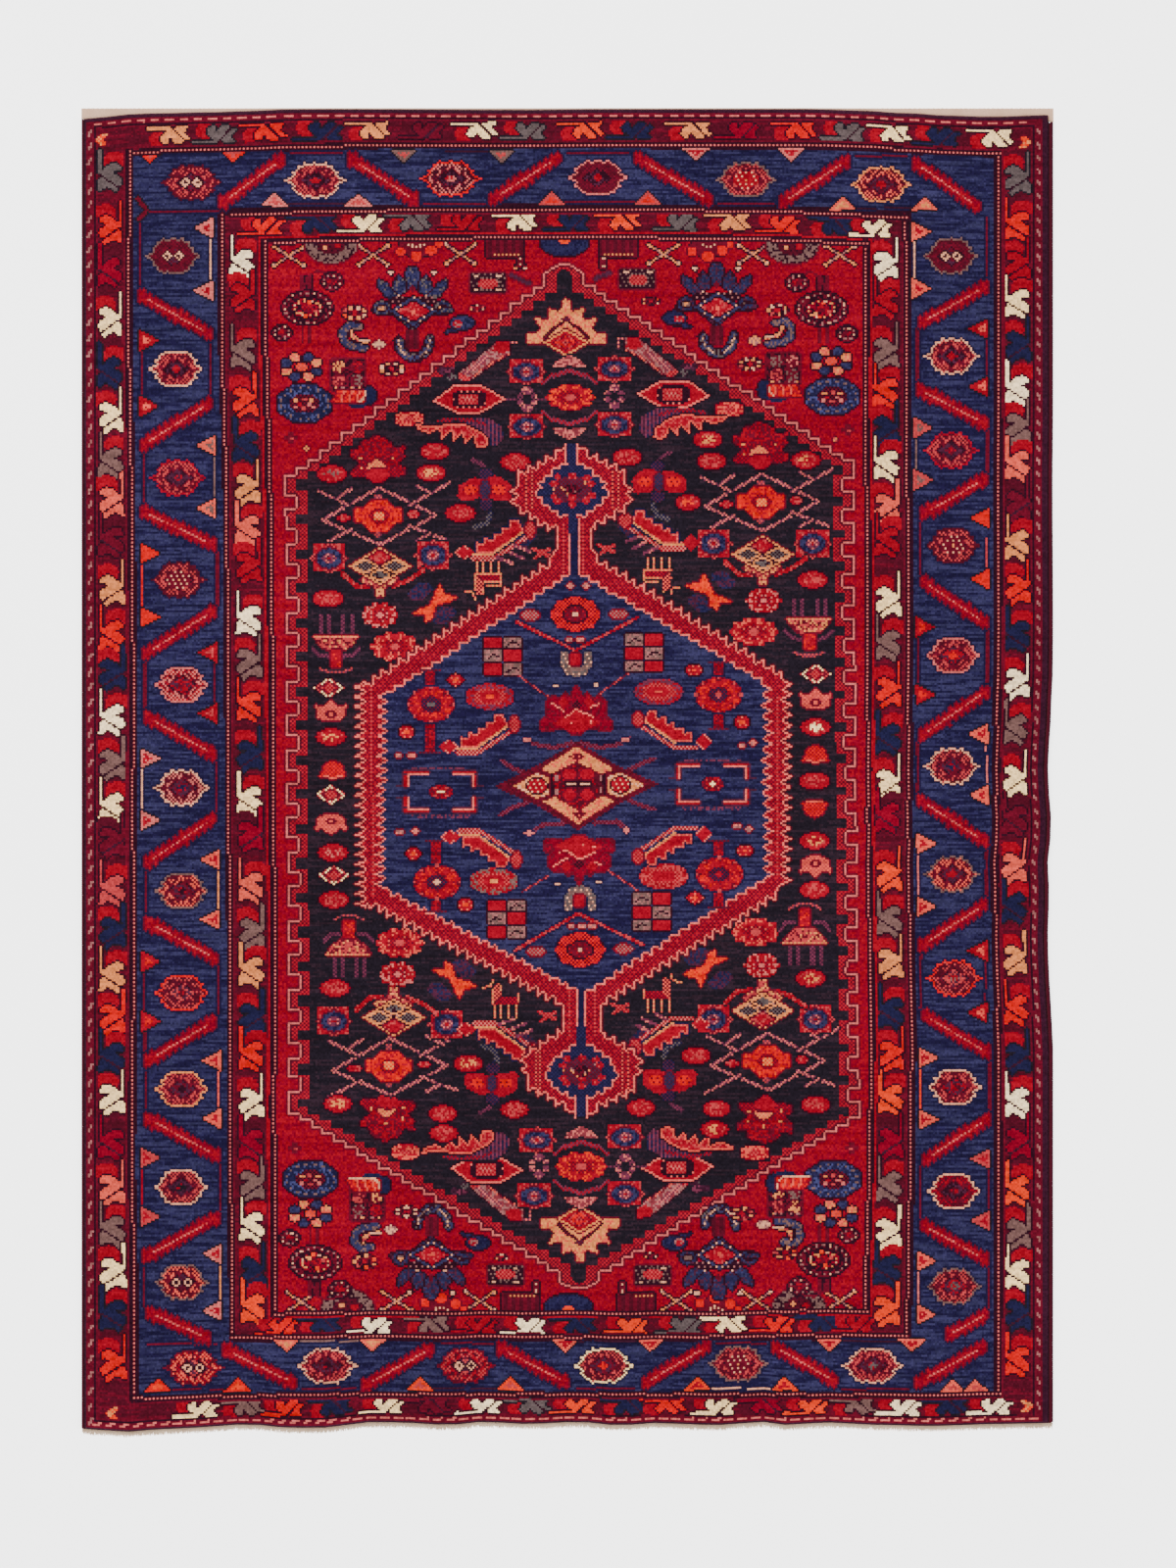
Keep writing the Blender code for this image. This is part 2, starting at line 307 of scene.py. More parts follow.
def grown(mask):
    """A mask with one more knot all round."""
    wide = mask.copy()
    wide[1:] |= mask[:-1]
    wide[:-1] |= mask[1:]
    wide[:, 1:] |= mask[:, :-1]
    wide[:, :-1] |= mask[:, 1:]
    return wide


def lay(shape, dye, rings=(), grid=PLAN):
    """Knots a shape in a dye, with a ring one knot wide round it, or several, the nearest first."""
    rings = (rings,) if isinstance(rings, str) else rings
    box, covers = shape
    area, x, y = window(box, grid, len(rings))
    mask = covers(x, y)
    masks = [mask]
    while len(masks) <= len(rings):
        masks.append(grown(masks[-1]))
    part = chart[area]
    for ring_dye, ring_mask in zip(rings[::-1], masks[:0:-1]):
        part[ring_mask] = dyes_for(area, ring_dye)[ring_mask]
    if dye:
        part[mask] = dyes_for(area, dye)[mask]


def lay_lined(shape, lines, body_dye, rings=()):
    """A shape with a line one knot wide just inside its edge, or several, the outermost first."""
    lines = (lines,) if isinstance(lines, str) else lines
    box, covers = shape
    area, x, y = window(box, PLAN, 2)
    mask = covers(x, y)
    lay(shape, body_dye, rings)
    for line_dye in lines:
        edge = mask & grown(~mask)
        chart[area][edge] = dyes_for(area, line_dye)[edge]
        mask = mask & ~edge


def rect(left, top, right, bottom):
    """A rectangle."""
    left, right = sorted((left, right))
    top, bottom = sorted((top, bottom))
    return (left, top, right, bottom), lambda x, y: (x >= left) & (x < right) & (y >= top) & (y < bottom)


def polygon(points):
    """A shape with straight sides."""
    points = [(float(px), float(py)) for px, py in points]
    xs, ys = zip(*points)

    def covers(x, y):
        inside = np.zeros(x.shape, bool)
        for (x0, y0), (x1, y1) in zip(points, points[1:] + points[:1]):
            if y0 == y1:
                continue
            crossing = x0 + (y - y0) * (x1 - x0) / (y1 - y0)
            inside ^= ((y0 > y) != (y1 > y)) & (x < crossing)
        return inside

    return (min(xs), min(ys), max(xs), max(ys)), covers


def lozenge(x, y, half_width, half_height):
    """A lozenge."""
    box = (x - half_width, y - half_height, x + half_width, y + half_height)
    return box, lambda px, py: abs(px - x) / half_width + abs(py - y) / half_height <= 1


def disc(x, y, half_width, half_height):
    """An oval."""
    box = (x - half_width, y - half_height, x + half_width, y + half_height)
    return box, lambda px, py: ((px - x) / half_width) ** 2 + ((py - y) / half_height) ** 2 <= 1


def octagon(x, y, half_width, half_height, cut=0.6):
    """A rectangle with its corners cut off."""
    box = (x - half_width, y - half_height, x + half_width, y + half_height)

    def covers(px, py):
        across = abs(px - x) / half_width
        along = abs(py - y) / half_height
        return (across <= 1) & (along <= 1) & (across + along <= 2 - cut)

    return box, covers


def stroke(points, width):
    """A line through points."""
    xs, ys = zip(*points)
    half = width / 2
    box = (min(xs) - half, min(ys) - half, max(xs) + half, max(ys) + half)

    def covers(x, y):
        found = np.zeros(x.shape, bool)
        for (x0, y0), (x1, y1) in zip(points, points[1:]):
            length = max((x1 - x0) ** 2 + (y1 - y0) ** 2, 1e-9)
            share = np.clip(((x - x0) * (x1 - x0) + (y - y0) * (y1 - y0)) / length, 0, 1)
            found |= (x - x0 - share * (x1 - x0)) ** 2 + (y - y0 - share * (y1 - y0)) ** 2 <= half * half
        return found

    return box, covers


def placed(points, x, y, turn_x=1, turn_y=1):
    """Points given round a centre, moved to x and y and mirrored by -1."""
    return [(x + turn_x * px, y + turn_y * py) for px, py in points]


def joined(*shapes):
    """Several shapes as one."""
    boxes, covers_of = zip(*shapes)
    lows = [min(values) for values in list(zip(*boxes))[:2]]
    highs = [max(values) for values in list(zip(*boxes))[2:]]

    def covers(x, y):
        found = np.zeros(x.shape, bool)
        for part_covers in covers_of:
            found |= part_covers(x, y)
        return found

    return (*lows, *highs), covers


def ring_of(count, x, y, half_width, half_height, start=0.5):
    """Places round an oval."""
    for number in range(count):
        angle = 2 * math.pi * (number + start) / count
        yield x + half_width * math.cos(angle), y + half_height * math.sin(angle)


def mirrored(half):
    """A closed outline from its right half, which starts and ends at the middle."""
    return list(half) + [(-px, py) for px, py in half[:0:-1]]


class Pen:
    """Knots shapes given round a centre, mirrored left to right by side -1 and turned over by up -1.

    Each shape takes its dye and then the dyes of the rings round it.
    """

    def __init__(self, x, y, side=1, up=1):
        self.place = (x, y, side, up)

    def turned(self, side):
        """A pen at the same place with another side."""
        x, y, _side, up = self.place
        return Pen(x, y, side, up)

    def fill(self, points, dye, rings=(), grid=PLAN):
        """A shape with straight sides."""
        lay(polygon(placed(points, *self.place)), dye, rings, grid)

    def fill_lined(self, points, lines, dye, rings=()):
        """A shape with straight sides and lines inside its edge."""
        lay_lined(polygon(placed(points, *self.place)), lines, dye, rings)

    def line(self, points, width, dye, rings=()):
        """A line through points."""
        lay(stroke(placed(points, *self.place), width), dye, rings)

    def disc(self, px, py, half_width, half_height, dye, rings=()):
        """An oval."""
        (x, y), = placed([(px, py)], *self.place)
        lay(disc(x, y, half_width, half_height), dye, rings)

    def discs(self, points, half_width, half_height, dye, rings=()):
        """Ovals of one size at several points."""
        for px, py in points:
            self.disc(px, py, half_width, half_height, dye, rings)

    def ring(self, count, reach, size, dye, start=0.5):
        """Ovals of one size round an oval."""
        self.discs(ring_of(count, 0, 0, *reach, start), *size, dye)

    def lozenge(self, px, py, half_width, half_height, dye, rings=()):
        """A lozenge."""
        (x, y), = placed([(px, py)], *self.place)
        lay(lozenge(x, y, half_width, half_height), dye, rings)

    def octagon(self, px, py, half_width, half_height, dye, rings=(), cut=0.6):
        """A rectangle with its corners cut off."""
        (x, y), = placed([(px, py)], *self.place)
        lay(octagon(x, y, half_width, half_height, cut), dye, rings)

    def rect(self, left, top, right, bottom, dye, rings=()):
        """A rectangle."""
        first, second = placed([(left, top), (right, bottom)], *self.place)
        lay(rect(*first, *second), dye, rings)


def place_all(figure, *places):
    """Knots a figure at each of its places."""
    for place in places:
        figure(*place)


# ---------------------------------------------------------------- borders

BLUE_GROUND = "blue blue_light:light_streaks blue_deep:dark_streaks"
RED_GROUND = "crimson_deep crimson:mottle"
WINE_GROUND = "wine maroon:light_streaks"
BLACK_GROUND = "night night_light:light_streaks"
# The share by which the bands are narrower along the ends than down the sides.
END_SHARE = 0.8
# Nested rectangles from the edge inwards, in band units: left, top, right, bottom, dye.
GROUNDS = (
    (80, 100, 1080, 1470, "plum_dark"),
    (86, 116, 1064, 1451.5, "maroon"),
    (94, 121, 1056.5, 1446, "shade"),
    (96, 123, 1054.5, 1444.5, "maroon"),
    (98.5, 125, 1052, 1442.5, WINE_GROUND),
    (134, 152, 1016, 1420.5, "shade"),
    (137, 154, 1013, 1419, BLUE_GROUND),
    (228, 210.5, 932, 1368, "shade"),
    (234, 218, 925, 1362, WINE_GROUND),
    (280, 248, 883, 1337.5, RED_GROUND),
)
FIELD_BOX = (280, 248, 883, 1337.5)   # left, top, right, bottom in band units
# Thin frames laid over the borders' figures: left, top, right, bottom, thickness, dye.
THIN_FRAMES = (
    (126, 144.5, 1024.5, 1427.5, 2.6, "maroon"),
    (128.6, 146.6, 1022, 1425.4, 3, "shade"),
    (234.4, 219, 924.4, 1360.8, 2.4, "maroon"),
    (270.5, 240, 892, 1343.2, 2.6, "crimson"),
    (273, 242, 889.4, 1341.4, 3, "shade"),
)


def inside(left, top, right, bottom):
    """Which knots lie inside a rectangle in band units."""
    return (band_x >= left) & (band_x < right) & (band_y >= top) & (band_y < bottom)


def knot_grounds():
    """The bands' ground colours."""
    whole = (slice(None), slice(None))
    for left, top, right, bottom, dye in GROUNDS:
        band = inside(left, top, right, bottom)
        chart[band] = dyes_for(whole, dye)[band]


def knot_thin_frames():
    """The thin plain lines between the bands."""
    for left, top, right, bottom, thickness, dye in THIN_FRAMES:
        outer = inside(left, top, right, bottom)
        flat = thickness * END_SHARE
        inner = inside(left + thickness, top + flat, right - thickness, bottom - flat)
        chart[outer & ~inner] = DYE_NUMBER[dye]


def dotted_frame(left, top, right, bottom, light, dark):
    """A line one knot wide round the rug, dotted down the sides and dashed along the ends."""
    for row in range(KNOT_ROWS):
        if not top <= band_y[row, KNOT_COLUMNS // 2] <= bottom:
            continue
        for place in (left, right):
            column = int(np.argmin(abs(band_x[row] - place)))
            for beside in (-1, 1):
                chart[row, column + beside] = DYE_NUMBER["shade"]
            chart[row, column] = DYE_NUMBER[light if row % 2 else dark]
    for column in range(KNOT_COLUMNS):
        if not left <= band_x[KNOT_ROWS // 2, column] <= right:
            continue
        for place in (top, bottom):
            row = int(np.argmin(abs(band_y[:, column] - place)))
            for beside in (-1, 1):
                chart[row + beside, column] = DYE_NUMBER["shade"]
            chart[row, column] = DYE_NUMBER[light if column % 2 else dark]


BARBER_LEFT = 90
BARBER_RIGHT = 1060
BARBER_TOP = 118.5
BARBER_BOTTOM = 1448.5


def knot_barber_line():
    """The outermost line, with slanting pink dots on maroon."""
    for place in np.arange(128, 1446, 15.5):
        lay(stroke([(BARBER_LEFT - 1.6, place + 3), (BARBER_LEFT + 1.6, place - 3)], 2.6), "blush", grid=BAND)
    for place in np.arange(128, 1446, 13.2):
        lay(stroke([(BARBER_RIGHT - 1, place - 2), (BARBER_RIGHT + 1, place + 2)], 2.6), "blush", grid=BAND)
    for place in np.arange(98, 1056, 15.5):
        lay(stroke([(place - 3, BARBER_TOP), (place + 4, BARBER_TOP + 0.8)], 2.4), "pink", grid=BAND)
    for place in np.arange(96, 1056, 13.5):
        lay(stroke([(place - 4, BARBER_BOTTOM), (place + 4, BARBER_BOTTOM - 0.8)], 2.2), "pink", grid=BAND)


# The middles of the small hooked leaves in the corners, and which way each opens.
CORNER_LEAVES = ((103, 136, 1), (1046, 138, -1), (111, 1437, 1), (1048, 1435, -1))
CORNER_LEAF = ((-7, 0), (0, -6), (6, -6), (2, 0), (6, 6), (0, 6))


def knot_corner_leaves():
    """A small orange leaf in each corner of the outermost band."""
    for x, y, side in CORNER_LEAVES:
        Pen(x, y, side).fill(CORNER_LEAF, "orange tan:mottle", "maroon", BAND)


# One leaf of the guard bands, its stem on the left and its band running down.
LEAF_UPPER = (
    (-12.5, -5), (-11, -3), (9, 9.5), (11.5, 8), (12.5, 2), (10, -1), (4, -4.5), (3, -6), (7, -7),
    (11.5, -7), (11.5, -11.5), (9, -14.5), (4, -15.5), (-1, -13.5), (-4, -11.5), (-8, -8), (-10, -9),
    (-12.5, -8),
)
LEAF_LOWER = (
    (-10, -0.5), (-13, 4), (-13.5, 13.5), (-10, 13.5), (-7, 11), (-3, 10.5), (1, 12.5), (6, 16.5),
    (8, 13), (7, 10.5), (-9, 0),
)
LEAF_VEIN = ((-12, -3.2), (8.5, 10.2))
LEAF_STEM = ((-11, -30), (-11, -7))
LEAF_BERRY = ((-6, -13), (-7, -20), (-4, -25), (3, -28), (9, -27), (15, -25), (15, -13), (6, -11))


class Band:
    """One side of a guard band: turns a leaf's own across and along into band units."""

    def __init__(self, upright, middle, narrow):
        self.upright = upright
        self.middle = middle
        self.narrow = narrow

    def points(self, local, place, side):
        """A leaf's own points, moved to its place along the band."""
        if self.upright:
            return [(self.middle + side * across * self.narrow, place + along) for across, along in local]
        return [(place + along, self.middle + side * across * self.narrow) for across, along in local]


def leaf(band, place, dye, side):
    """A leaf with its stem, vein and the berry beside the stem. side 1 has the stem at left or top."""
    berry = "wine" if dye in ("maroon", "crimson_deep") else "crimson red:fleck"
    lay(polygon(band.points(LEAF_BERRY, place, side)), berry, grid=BAND)
    stem = stroke(band.points(LEAF_STEM, place, side), 2.7)
    dark = "night" if dye in ("navy", "grey") else "shade"
    lay(stem, dye, dark, BAND)
    lay(polygon(band.points(LEAF_UPPER, place, side)), dye, dark, BAND)
    lay(polygon(band.points(LEAF_LOWER, place, side)), dye, dark, BAND)
    lay(stem, dye, grid=BAND)
    vein = "plum_dark" if dye in ("navy", "maroon", "crimson_deep") else "shade"
    lay(stroke(band.points(LEAF_VEIN, place, side), 1.9), vein, grid=BAND)


OUTER_LEFT = Band(True, 112, 1.0)
OUTER_RIGHT = Band(True, 1038, 1.0)
OUTER_TOP = Band(False, 134.5, 0.68)
OUTER_BOTTOM = Band(False, 1435, 0.62)
INNER_LEFT = Band(True, 254, 1.0)
INNER_RIGHT = Band(True, 906, 1.0)
INNER_TOP = Band(False, 229.5, 0.68)
INNER_BOTTOM = Band(False, 1351.5, 0.62)

# Each guard band's leaves: place along it and dye. The stems change sides from leaf to leaf.
LEAVES = (
    (
        OUTER_LEFT, 1,
        (
            (176, "grey"), (232, "vermilion"), (277, "crimson_deep"), (329, "cream"), (381, "navy"),
            (427, "cream"), (473, "taupe"), (513, "salmon"), (554, "maroon"), (603, "tan"),
            (649, "vermilion"), (689, "navy"), (735, "ivory"), (781, "taupe"), (825, "cream"),
            (860, "maroon"), (909, "coral"), (952, "navy"), (997, "tan"), (1040, "vermilion"),
            (1080, "navy"), (1122, "cream"), (1168, "crimson_deep"), (1214, "salmon"), (1256, "taupe"),
            (1298, "cream"), (1340, "navy"), (1390, "vermilion"),
        ),
    ),
    (
        OUTER_RIGHT, -1,
        (
            (178, "grey"), (227, "vermilion"), (269, "crimson"), (310, "cream"), (355, "navy"),
            (399, "ivory"), (438, "taupe"), (476, "salmon"), (517, "maroon"), (557, "tan"),
            (602, "vermilion"), (650, "navy"), (698, "ivory"), (745, "taupe"), (797, "cream"),
            (838, "maroon"), (886, "salmon"), (927, "navy"), (980, "tan"), (1031, "vermilion"),
            (1080, "navy"), (1125, "ivory"), (1167, "crimson_deep"), (1215, "orange"), (1259, "taupe"),
            (1301, "cream"), (1343, "navy"), (1390, "vermilion"),
        ),
    ),
    (
        OUTER_TOP, 1,
        (
            (182, "tan"), (232, "grey"), (282, "vermilion"), (334, "navy"), (383, "tan"), (437, "maroon"),
            (492, "cream"), (542, "grey"), (600, "orange"), (650, "navy"), (710, "tan"),
            (759, "crimson_deep"), (817, "vermilion"), (868, "grey"), (916, "cream"), (964, "navy"),
            (1018, "cream"),
        ),
    ),
    (
        OUTER_BOTTOM, -1,
        (
            (202, "cream"), (249, "taupe"), (293, "vermilion"), (343, "navy"), (397, "cream"),
            (443, "maroon"), (496, "ivory"), (546, "grey"), (592, "orange"), (643, "navy"),
        ),
    ),
    (OUTER_BOTTOM, 1, ((684, "vermilion"),)),
    (
        OUTER_BOTTOM, -1,
        (
            (735, "cream"), (782, "crimson_deep"), (830, "orange"), (879, "taupe"), (926, "ivory"),
            (972, "navy"), (1017, "ivory"),
        ),
    ),
    (
        INNER_LEFT, 1,
        (
            (268, "ivory"), (304, "crimson"), (362, "taupe"), (411, "vermilion"), (457, "navy"),
            (500, "tan"), (542, "salmon"), (580, "crimson"), (634, "ivory"), (678, "taupe"),
            (722, "vermilion"), (772, "navy"), (818, "cream"), (854, "crimson_deep"), (906, "salmon"),
            (953, "taupe"), (992, "tan"), (1040, "navy"), (1078, "vermilion"), (1126, "cream"),
            (1168, "crimson_deep"), (1210, "taupe"), (1252, "cream"), (1298, "navy"), (1333, "orange"),
        ),
    ),
    (
        INNER_RIGHT, -1,
        (
            (269, "ivory"), (310, "crimson"), (361, "taupe"), (402, "vermilion"), (441, "navy"),
            (476, "cream"), (520, "salmon"), (554, "crimson"), (615, "cream"), (659, "taupe"),
            (707, "vermilion"), (755, "navy"), (801, "cream"), (835, "crimson_deep"), (895, "orange"),
            (940, "taupe"), (984, "tan"), (1034, "navy"), (1078, "vermilion"), (1122, "orange"),
            (1167, "crimson_deep"), (1211, "taupe"), (1259, "cream"), (1297, "navy"), (1339, "orange"),
        ),
    ),
    (
        INNER_TOP, -1,
        (
            (280, "vermilion"), (328, "navy"), (376, "cream"), (424, "grey"), (477, "crimson"),
            (533, "cream"), (586, "navy"), (638, "orange"), (697, "grey"), (750, "tan"), (801, "vermilion"),
            (855, "navy"), (897, "cream"),
        ),
    ),
    (
        INNER_BOTTOM, -1,
        ((286, "vermilion"), (332, "navy"), (385, "ivory"), (443, "taupe"), (492, "crimson")),
    ),
    (INNER_BOTTOM, -1, ((542, "ivory"), (592, "navy"), (646, "orange"))),
    (
        INNER_BOTTOM, -1,
        ((700, "grey"), (746, "cream"), (795, "vermilion"), (842, "navy"), (880, "crimson")),
    ),
)


def knot_guards():
    """All the leaves of the outer and inner guard bands."""
    for band, first_side, leaves in LEAVES:
        side = first_side
        for place, dye in leaves:
            leaf(band, place, dye, side)
            side = -side


# A quarter of a rosette's scalloped outline, its tip at the right.
ROSETTE_QUARTER = ((1, 0), (0.8, 0.17), (0.7, 0.26), (0.74, 0.48), (0.6, 0.56), (0.58, 0.78), (0.42, 0.82),
                   (0.36, 1), (0.2, 0.9))


def rosette_outline(x, y, half_width, half_height):
    """The scalloped lozenge of a border rosette."""
    quarter = list(ROSETTE_QUARTER)
    upper = quarter + [(0, 1)] + [(-px, py) for px, py in quarter[::-1]]
    whole = upper + [(px, -py) for px, py in upper[-2:0:-1]]
    return polygon([(x + half_width * px, y + half_height * py) for px, py in whole])


def rosette(x, y, half_width, half_height, outline, ground, seeds, inner, core):
    """A border rosette: a scalloped outline, a dotted ground, a lozenge and a core."""
    lay_lined(
        rosette_outline(x, y, half_width, half_height), outline, f"{ground} {seeds}:check wine:fleck",
        "blue_deep",
    )
    lay_lined(
        lozenge(x, y, half_width * 0.7, half_height * 0.7), f"{seeds} maroon:check",
        f"{ground} maroon:check",
    )
    lay(lozenge(x, y, half_width * 0.46, half_height * 0.46), f"{inner} plum:mottle", "shade maroon:check")
    if core == "eyes":
        for shift in (-6, 6):
            lay(lozenge(x + shift, y, 5.2, 5.2), "oat", "shade")
            lay(lozenge(x + shift, y, 2.6, 2.6), "shade")
    elif core == "ring":
        lay(octagon(x, y, 12, 9), f"{inner} oat:seeds")
        lay(octagon(x, y, 5, 3.6), inner)
        lay(rect(x - 1.2, y - 1.2, x + 1.2, y + 1.2), "tan")
    else:
        lay(lozenge(x, y, 6, 4.4), f"{core} crimson:fleck")


# Rosettes of the blue border: x, y, outline, ground, seeds, inner lozenge, core.
ROSETTES_SIDE = (
    (177, 262, "taupe", "wine", "maroon", "maroon", "eyes"),
    (180, 377, "oat", "maroon", "coral", "shade", "crimson"),
    (182, 488, "red", "maroon", "coral", "plum_dark", "plum"),
    (183, 592, "wine", "wine", "coral", "maroon", "ring"),
    (186, 699, "pink", "crimson", "pink", "crimson", "maroon"),
    (186, 804, "oat", "wine", "pink", "maroon", "navy"),
    (186, 909, "taupe", "maroon", "salmon", "maroon", "shade"),
    (186, 1013, "vermilion", "coral", "wine", "coral", "wine"),
    (186, 1111, "tan", "maroon", "coral", "maroon", "shade"),
    (185, 1211, "oat", "wine", "coral", "plum_dark", "night"),
    (186, 1308, "taupe", "maroon", "salmon", "wine", "eyes"),
    (970, 262, "taupe", "wine", "maroon", "maroon", "eyes"),
    (971, 364, "oat", "maroon", "coral", "shade", "crimson"),
    (970, 460, "red", "maroon", "coral", "plum_dark", "maroon"),
    (972, 557, "wine", "wine", "coral", "maroon", "ring"),
    (972, 669, "pink", "maroon", "coral", "crimson", "vermilion"),
    (971, 782, "oat", "wine", "coral", "maroon", "navy"),
    (971, 892, "taupe", "maroon", "salmon", "maroon", "crimson"),
    (973, 998, "vermilion", "coral", "wine", "coral", "taupe"),
    (974, 1109, "oat", "maroon", "coral", "crimson", "wine"),
    (973, 1215, "oat", "maroon", "crimson", "shade", "wine"),
    (973, 1312, "taupe", "wine", "coral", "crimson", "grey"),
)
ROSETTES_END = (
    (196, 187, "wine", "maroon", "coral", "maroon", "eyes"),
    (322, 185, "oat", "maroon", "coral", "shade", "crimson"),
    (460, 183, "vermilion", "shade", "pink", "shade", "pink"),
    (610, 182, "pink", "wine", "maroon", "shade", "crimson"),
    (761, 184, "taupe", "maroon", "coral", "crimson", "ring"),
    (899, 189, "tan", "wine", "salmon", "wine", "crimson"),
    (198, 1395, "maroon", "crimson", "salmon", "coral", "eyes"),
    (334, 1393, "oat", "maroon", "coral", "wine", "shade"),
    (475, 1393, "maroon", "coral", "crimson", "coral", "eyes"),
    (616, 1393, "cream", "wine", "coral", "maroon", "vermilion"),
    (753, 1391, "taupe", "maroon", "coral", "maroon", "ring"),
    (890, 1393, "oat", "maroon", "coral", "wine", "grey"),
)
ROSETTE_SIZE_SIDE = (29, 19)     # half the width and height
ROSETTE_SIZE_END = (32, 18.5)
# Stepped bars of the blue border, end to end.
BARS = (
    ((142, 301), (217, 343)), ((217, 410), (144, 456)), ((144, 521), (221, 558)), ((221, 622), (146, 669)),
    ((149, 731), (221, 771)), ((221, 833), (148, 882)), ((149, 940), (223, 979)),
    ((221, 1041), (149, 1083)), ((149, 1140), (224, 1180)), ((224, 1241), (147, 1283)),
    ((151, 1338), (215, 1366)), ((1007, 292), (938, 331)), ((936, 397), (1007, 434)),
    ((1007, 488), (940, 526)), ((939, 592), (1008, 638)), ((1008, 704), (938, 752)),
    ((936, 815), (1008, 861)), ((1007, 921), (938, 966)), ((940, 1034), (1009, 1075)),
    ((1009, 1140), (941, 1185)), ((939, 1248), (1007, 1286)), ((1008, 1339), (966, 1363)),
    ((225, 209), (290, 162)), ((357, 162), (427, 207)), ((500, 206), (572, 160)), ((648, 160), (727, 207)),
    ((796, 209), (866, 163)), ((932, 166), (999, 213)), ((229, 1376), (303, 1412)),
    ((443, 1374), (371, 1414)), ((509, 1374), (581, 1412)), ((724, 1372), (656, 1412)),
    ((788, 1372), (853, 1410)), ((1006, 1372), (934, 1412)),
)
BAR_STEP = 6.2
BAR_HALF = 4.2
BAR_TOOTH = 3.2
BAR_END = 3              # how near to its ends a bar still slants
BAR_LINE_INSET = 0.13    # how far in from the ends its pale line runs, as a share of the bar


def bar(start, end):
    """A stepped bar with a pale dashed line along its middle."""
    (x0, y0), (x1, y1) = sorted((start, end))
    slope = (y1 - y0) / (x1 - x0)
    low, high = min(y0, y1), max(y0, y1)

    def covers(x, y):
        steps = (x - x0) / BAR_STEP
        along = (np.floor(steps) + 0.5) * BAR_STEP
        middle = y0 + slope * np.clip(along, BAR_END, x1 - x0 - BAR_END)
        reach = BAR_HALF + BAR_TOOTH * abs(2 * (steps % 1) - 1)
        return (x >= x0) & (x < x1) & (abs(y - middle) <= reach)

    lay(
        ((x0, low - BAR_HALF, x1, high + BAR_HALF), covers), "crimson crimson_deep:mottle",
        ("maroon", "blue_deep"),
    )
    shares = (BAR_LINE_INSET, 1 - BAR_LINE_INSET)
    ends = [(x0 + share * (x1 - x0), y0 + share * (y1 - y0)) for share in shares]
    lay(stroke(ends, 1.5), "pink coral:columns")


# Triangles of the blue border in pairs: side line's plan x or y, the two middles, dye, seeds, line dye.
TRIANGLES_SIDE = (
    (216, 1, 233, 297, "pink", "crimson", "oat"), (145, -1, 348, 415, "crimson", "salmon", "maroon"),
    (219, 1, 455, 519, "salmon", "taupe", "taupe"),
    (146, -1, 565, 630, "vermilion", "vermilion", "vermilion"),
    (220, 1, 666, 728, "crimson", "coral", "maroon"), (146, -1, 774, 837, "pink", "red", "oat"),
    (223, 1, 877, 938, "salmon", "red", "tan"), (147, -1, 981, 1042, "red", "vermilion", "maroon"),
    (224, 1, 1082, 1141, "salmon", "red", "salmon"), (146, -1, 1181, 1241, "coral", "red", "crimson"),
    (225, 1, 1279, 1337, "pink", "red", "tan"), (932, -1, 237, 295, "salmon", "red", "oat"),
    (1006, 1, 336, 395, "crimson", "salmon", "maroon"), (934, -1, 437, 490, "coral", "taupe", "taupe"),
    (1007, 1, 529, 591, "vermilion", "vermilion", "coral"),
    (936, -1, 640, 709, "crimson", "vermilion", "maroon"), (1006, 1, 749, 811, "salmon", "red", "pink"),
    (937, -1, 861, 925, "salmon", "red", "pink"), (1005, 1, 970, 1033, "crimson", "salmon", "maroon"),
    (939, -1, 1079, 1142, "salmon", "red", "orange"), (1008, 1, 1182, 1245, "coral", "red", "maroon"),
    (937, -1, 1286, 1341, "salmon", "red", "pink"),
)
TRIANGLES_END = (
    (156, 1, 154, 238, "vermilion", "coral", "maroon"), (209, -1, 280, 366, "pink", "coral", "plum_dark"),
    (156, 1, 412, 512, "taupe", "coral", "plum_dark"), (207, -1, 563, 661, "coral", "vermilion", "maroon"),
    (154, 1, 710, 807, "pink", "red", "oat"), (213, -1, 860, 943, "salmon", "tan", "plum_dark"),
    (1417, -1, 162, 243, "vermilion", "orange", "maroon"), (1368, 1, 293, 380, "salmon", "tan", "taupe"),
    (1416, -1, 429, 521, "orange", "coral", "plum_dark"), (1368, 1, 577, 663, "salmon", "red", "plum_dark"),
    (1416, -1, 712, 800, "orange", "red", "oat"), (1368, 1, 846, 930, "salmon", "red", "plum_dark"),
    (1418, -1, 972, 995, "salmon", "coral", "salmon"),
)
TRIANGLE_DEPTH = 18
TRIANGLE_BASE = 10.5
END_TRIANGLE_DEPTH = 11
END_TRIANGLE_BASE = 14


def triangle_pair_side(line_x, inward, upper, lower, dye, seeds, line_dye):
    """Two triangles on a side line of the blue border, pointing across it, and the line between them."""
    lay(rect(line_x - 0.9, upper, line_x + 0.9, lower), line_dye, "blue_deep")
    for y in (upper, lower):
        corners = [(line_x + inward * 2, y - TRIANGLE_BASE), (line_x + inward * 2, y + TRIANGLE_BASE)]
        lay(polygon(corners + [(line_x - inward * TRIANGLE_DEPTH, y)]), dye, "night")
        small = [(line_x - inward * 1, y - TRIANGLE_BASE + 5), (line_x - inward * 1, y + TRIANGLE_BASE - 5)]
        lay(polygon(small + [(line_x - inward * (TRIANGLE_DEPTH - 8), y)]), f"{seeds} {dye}:seeds")


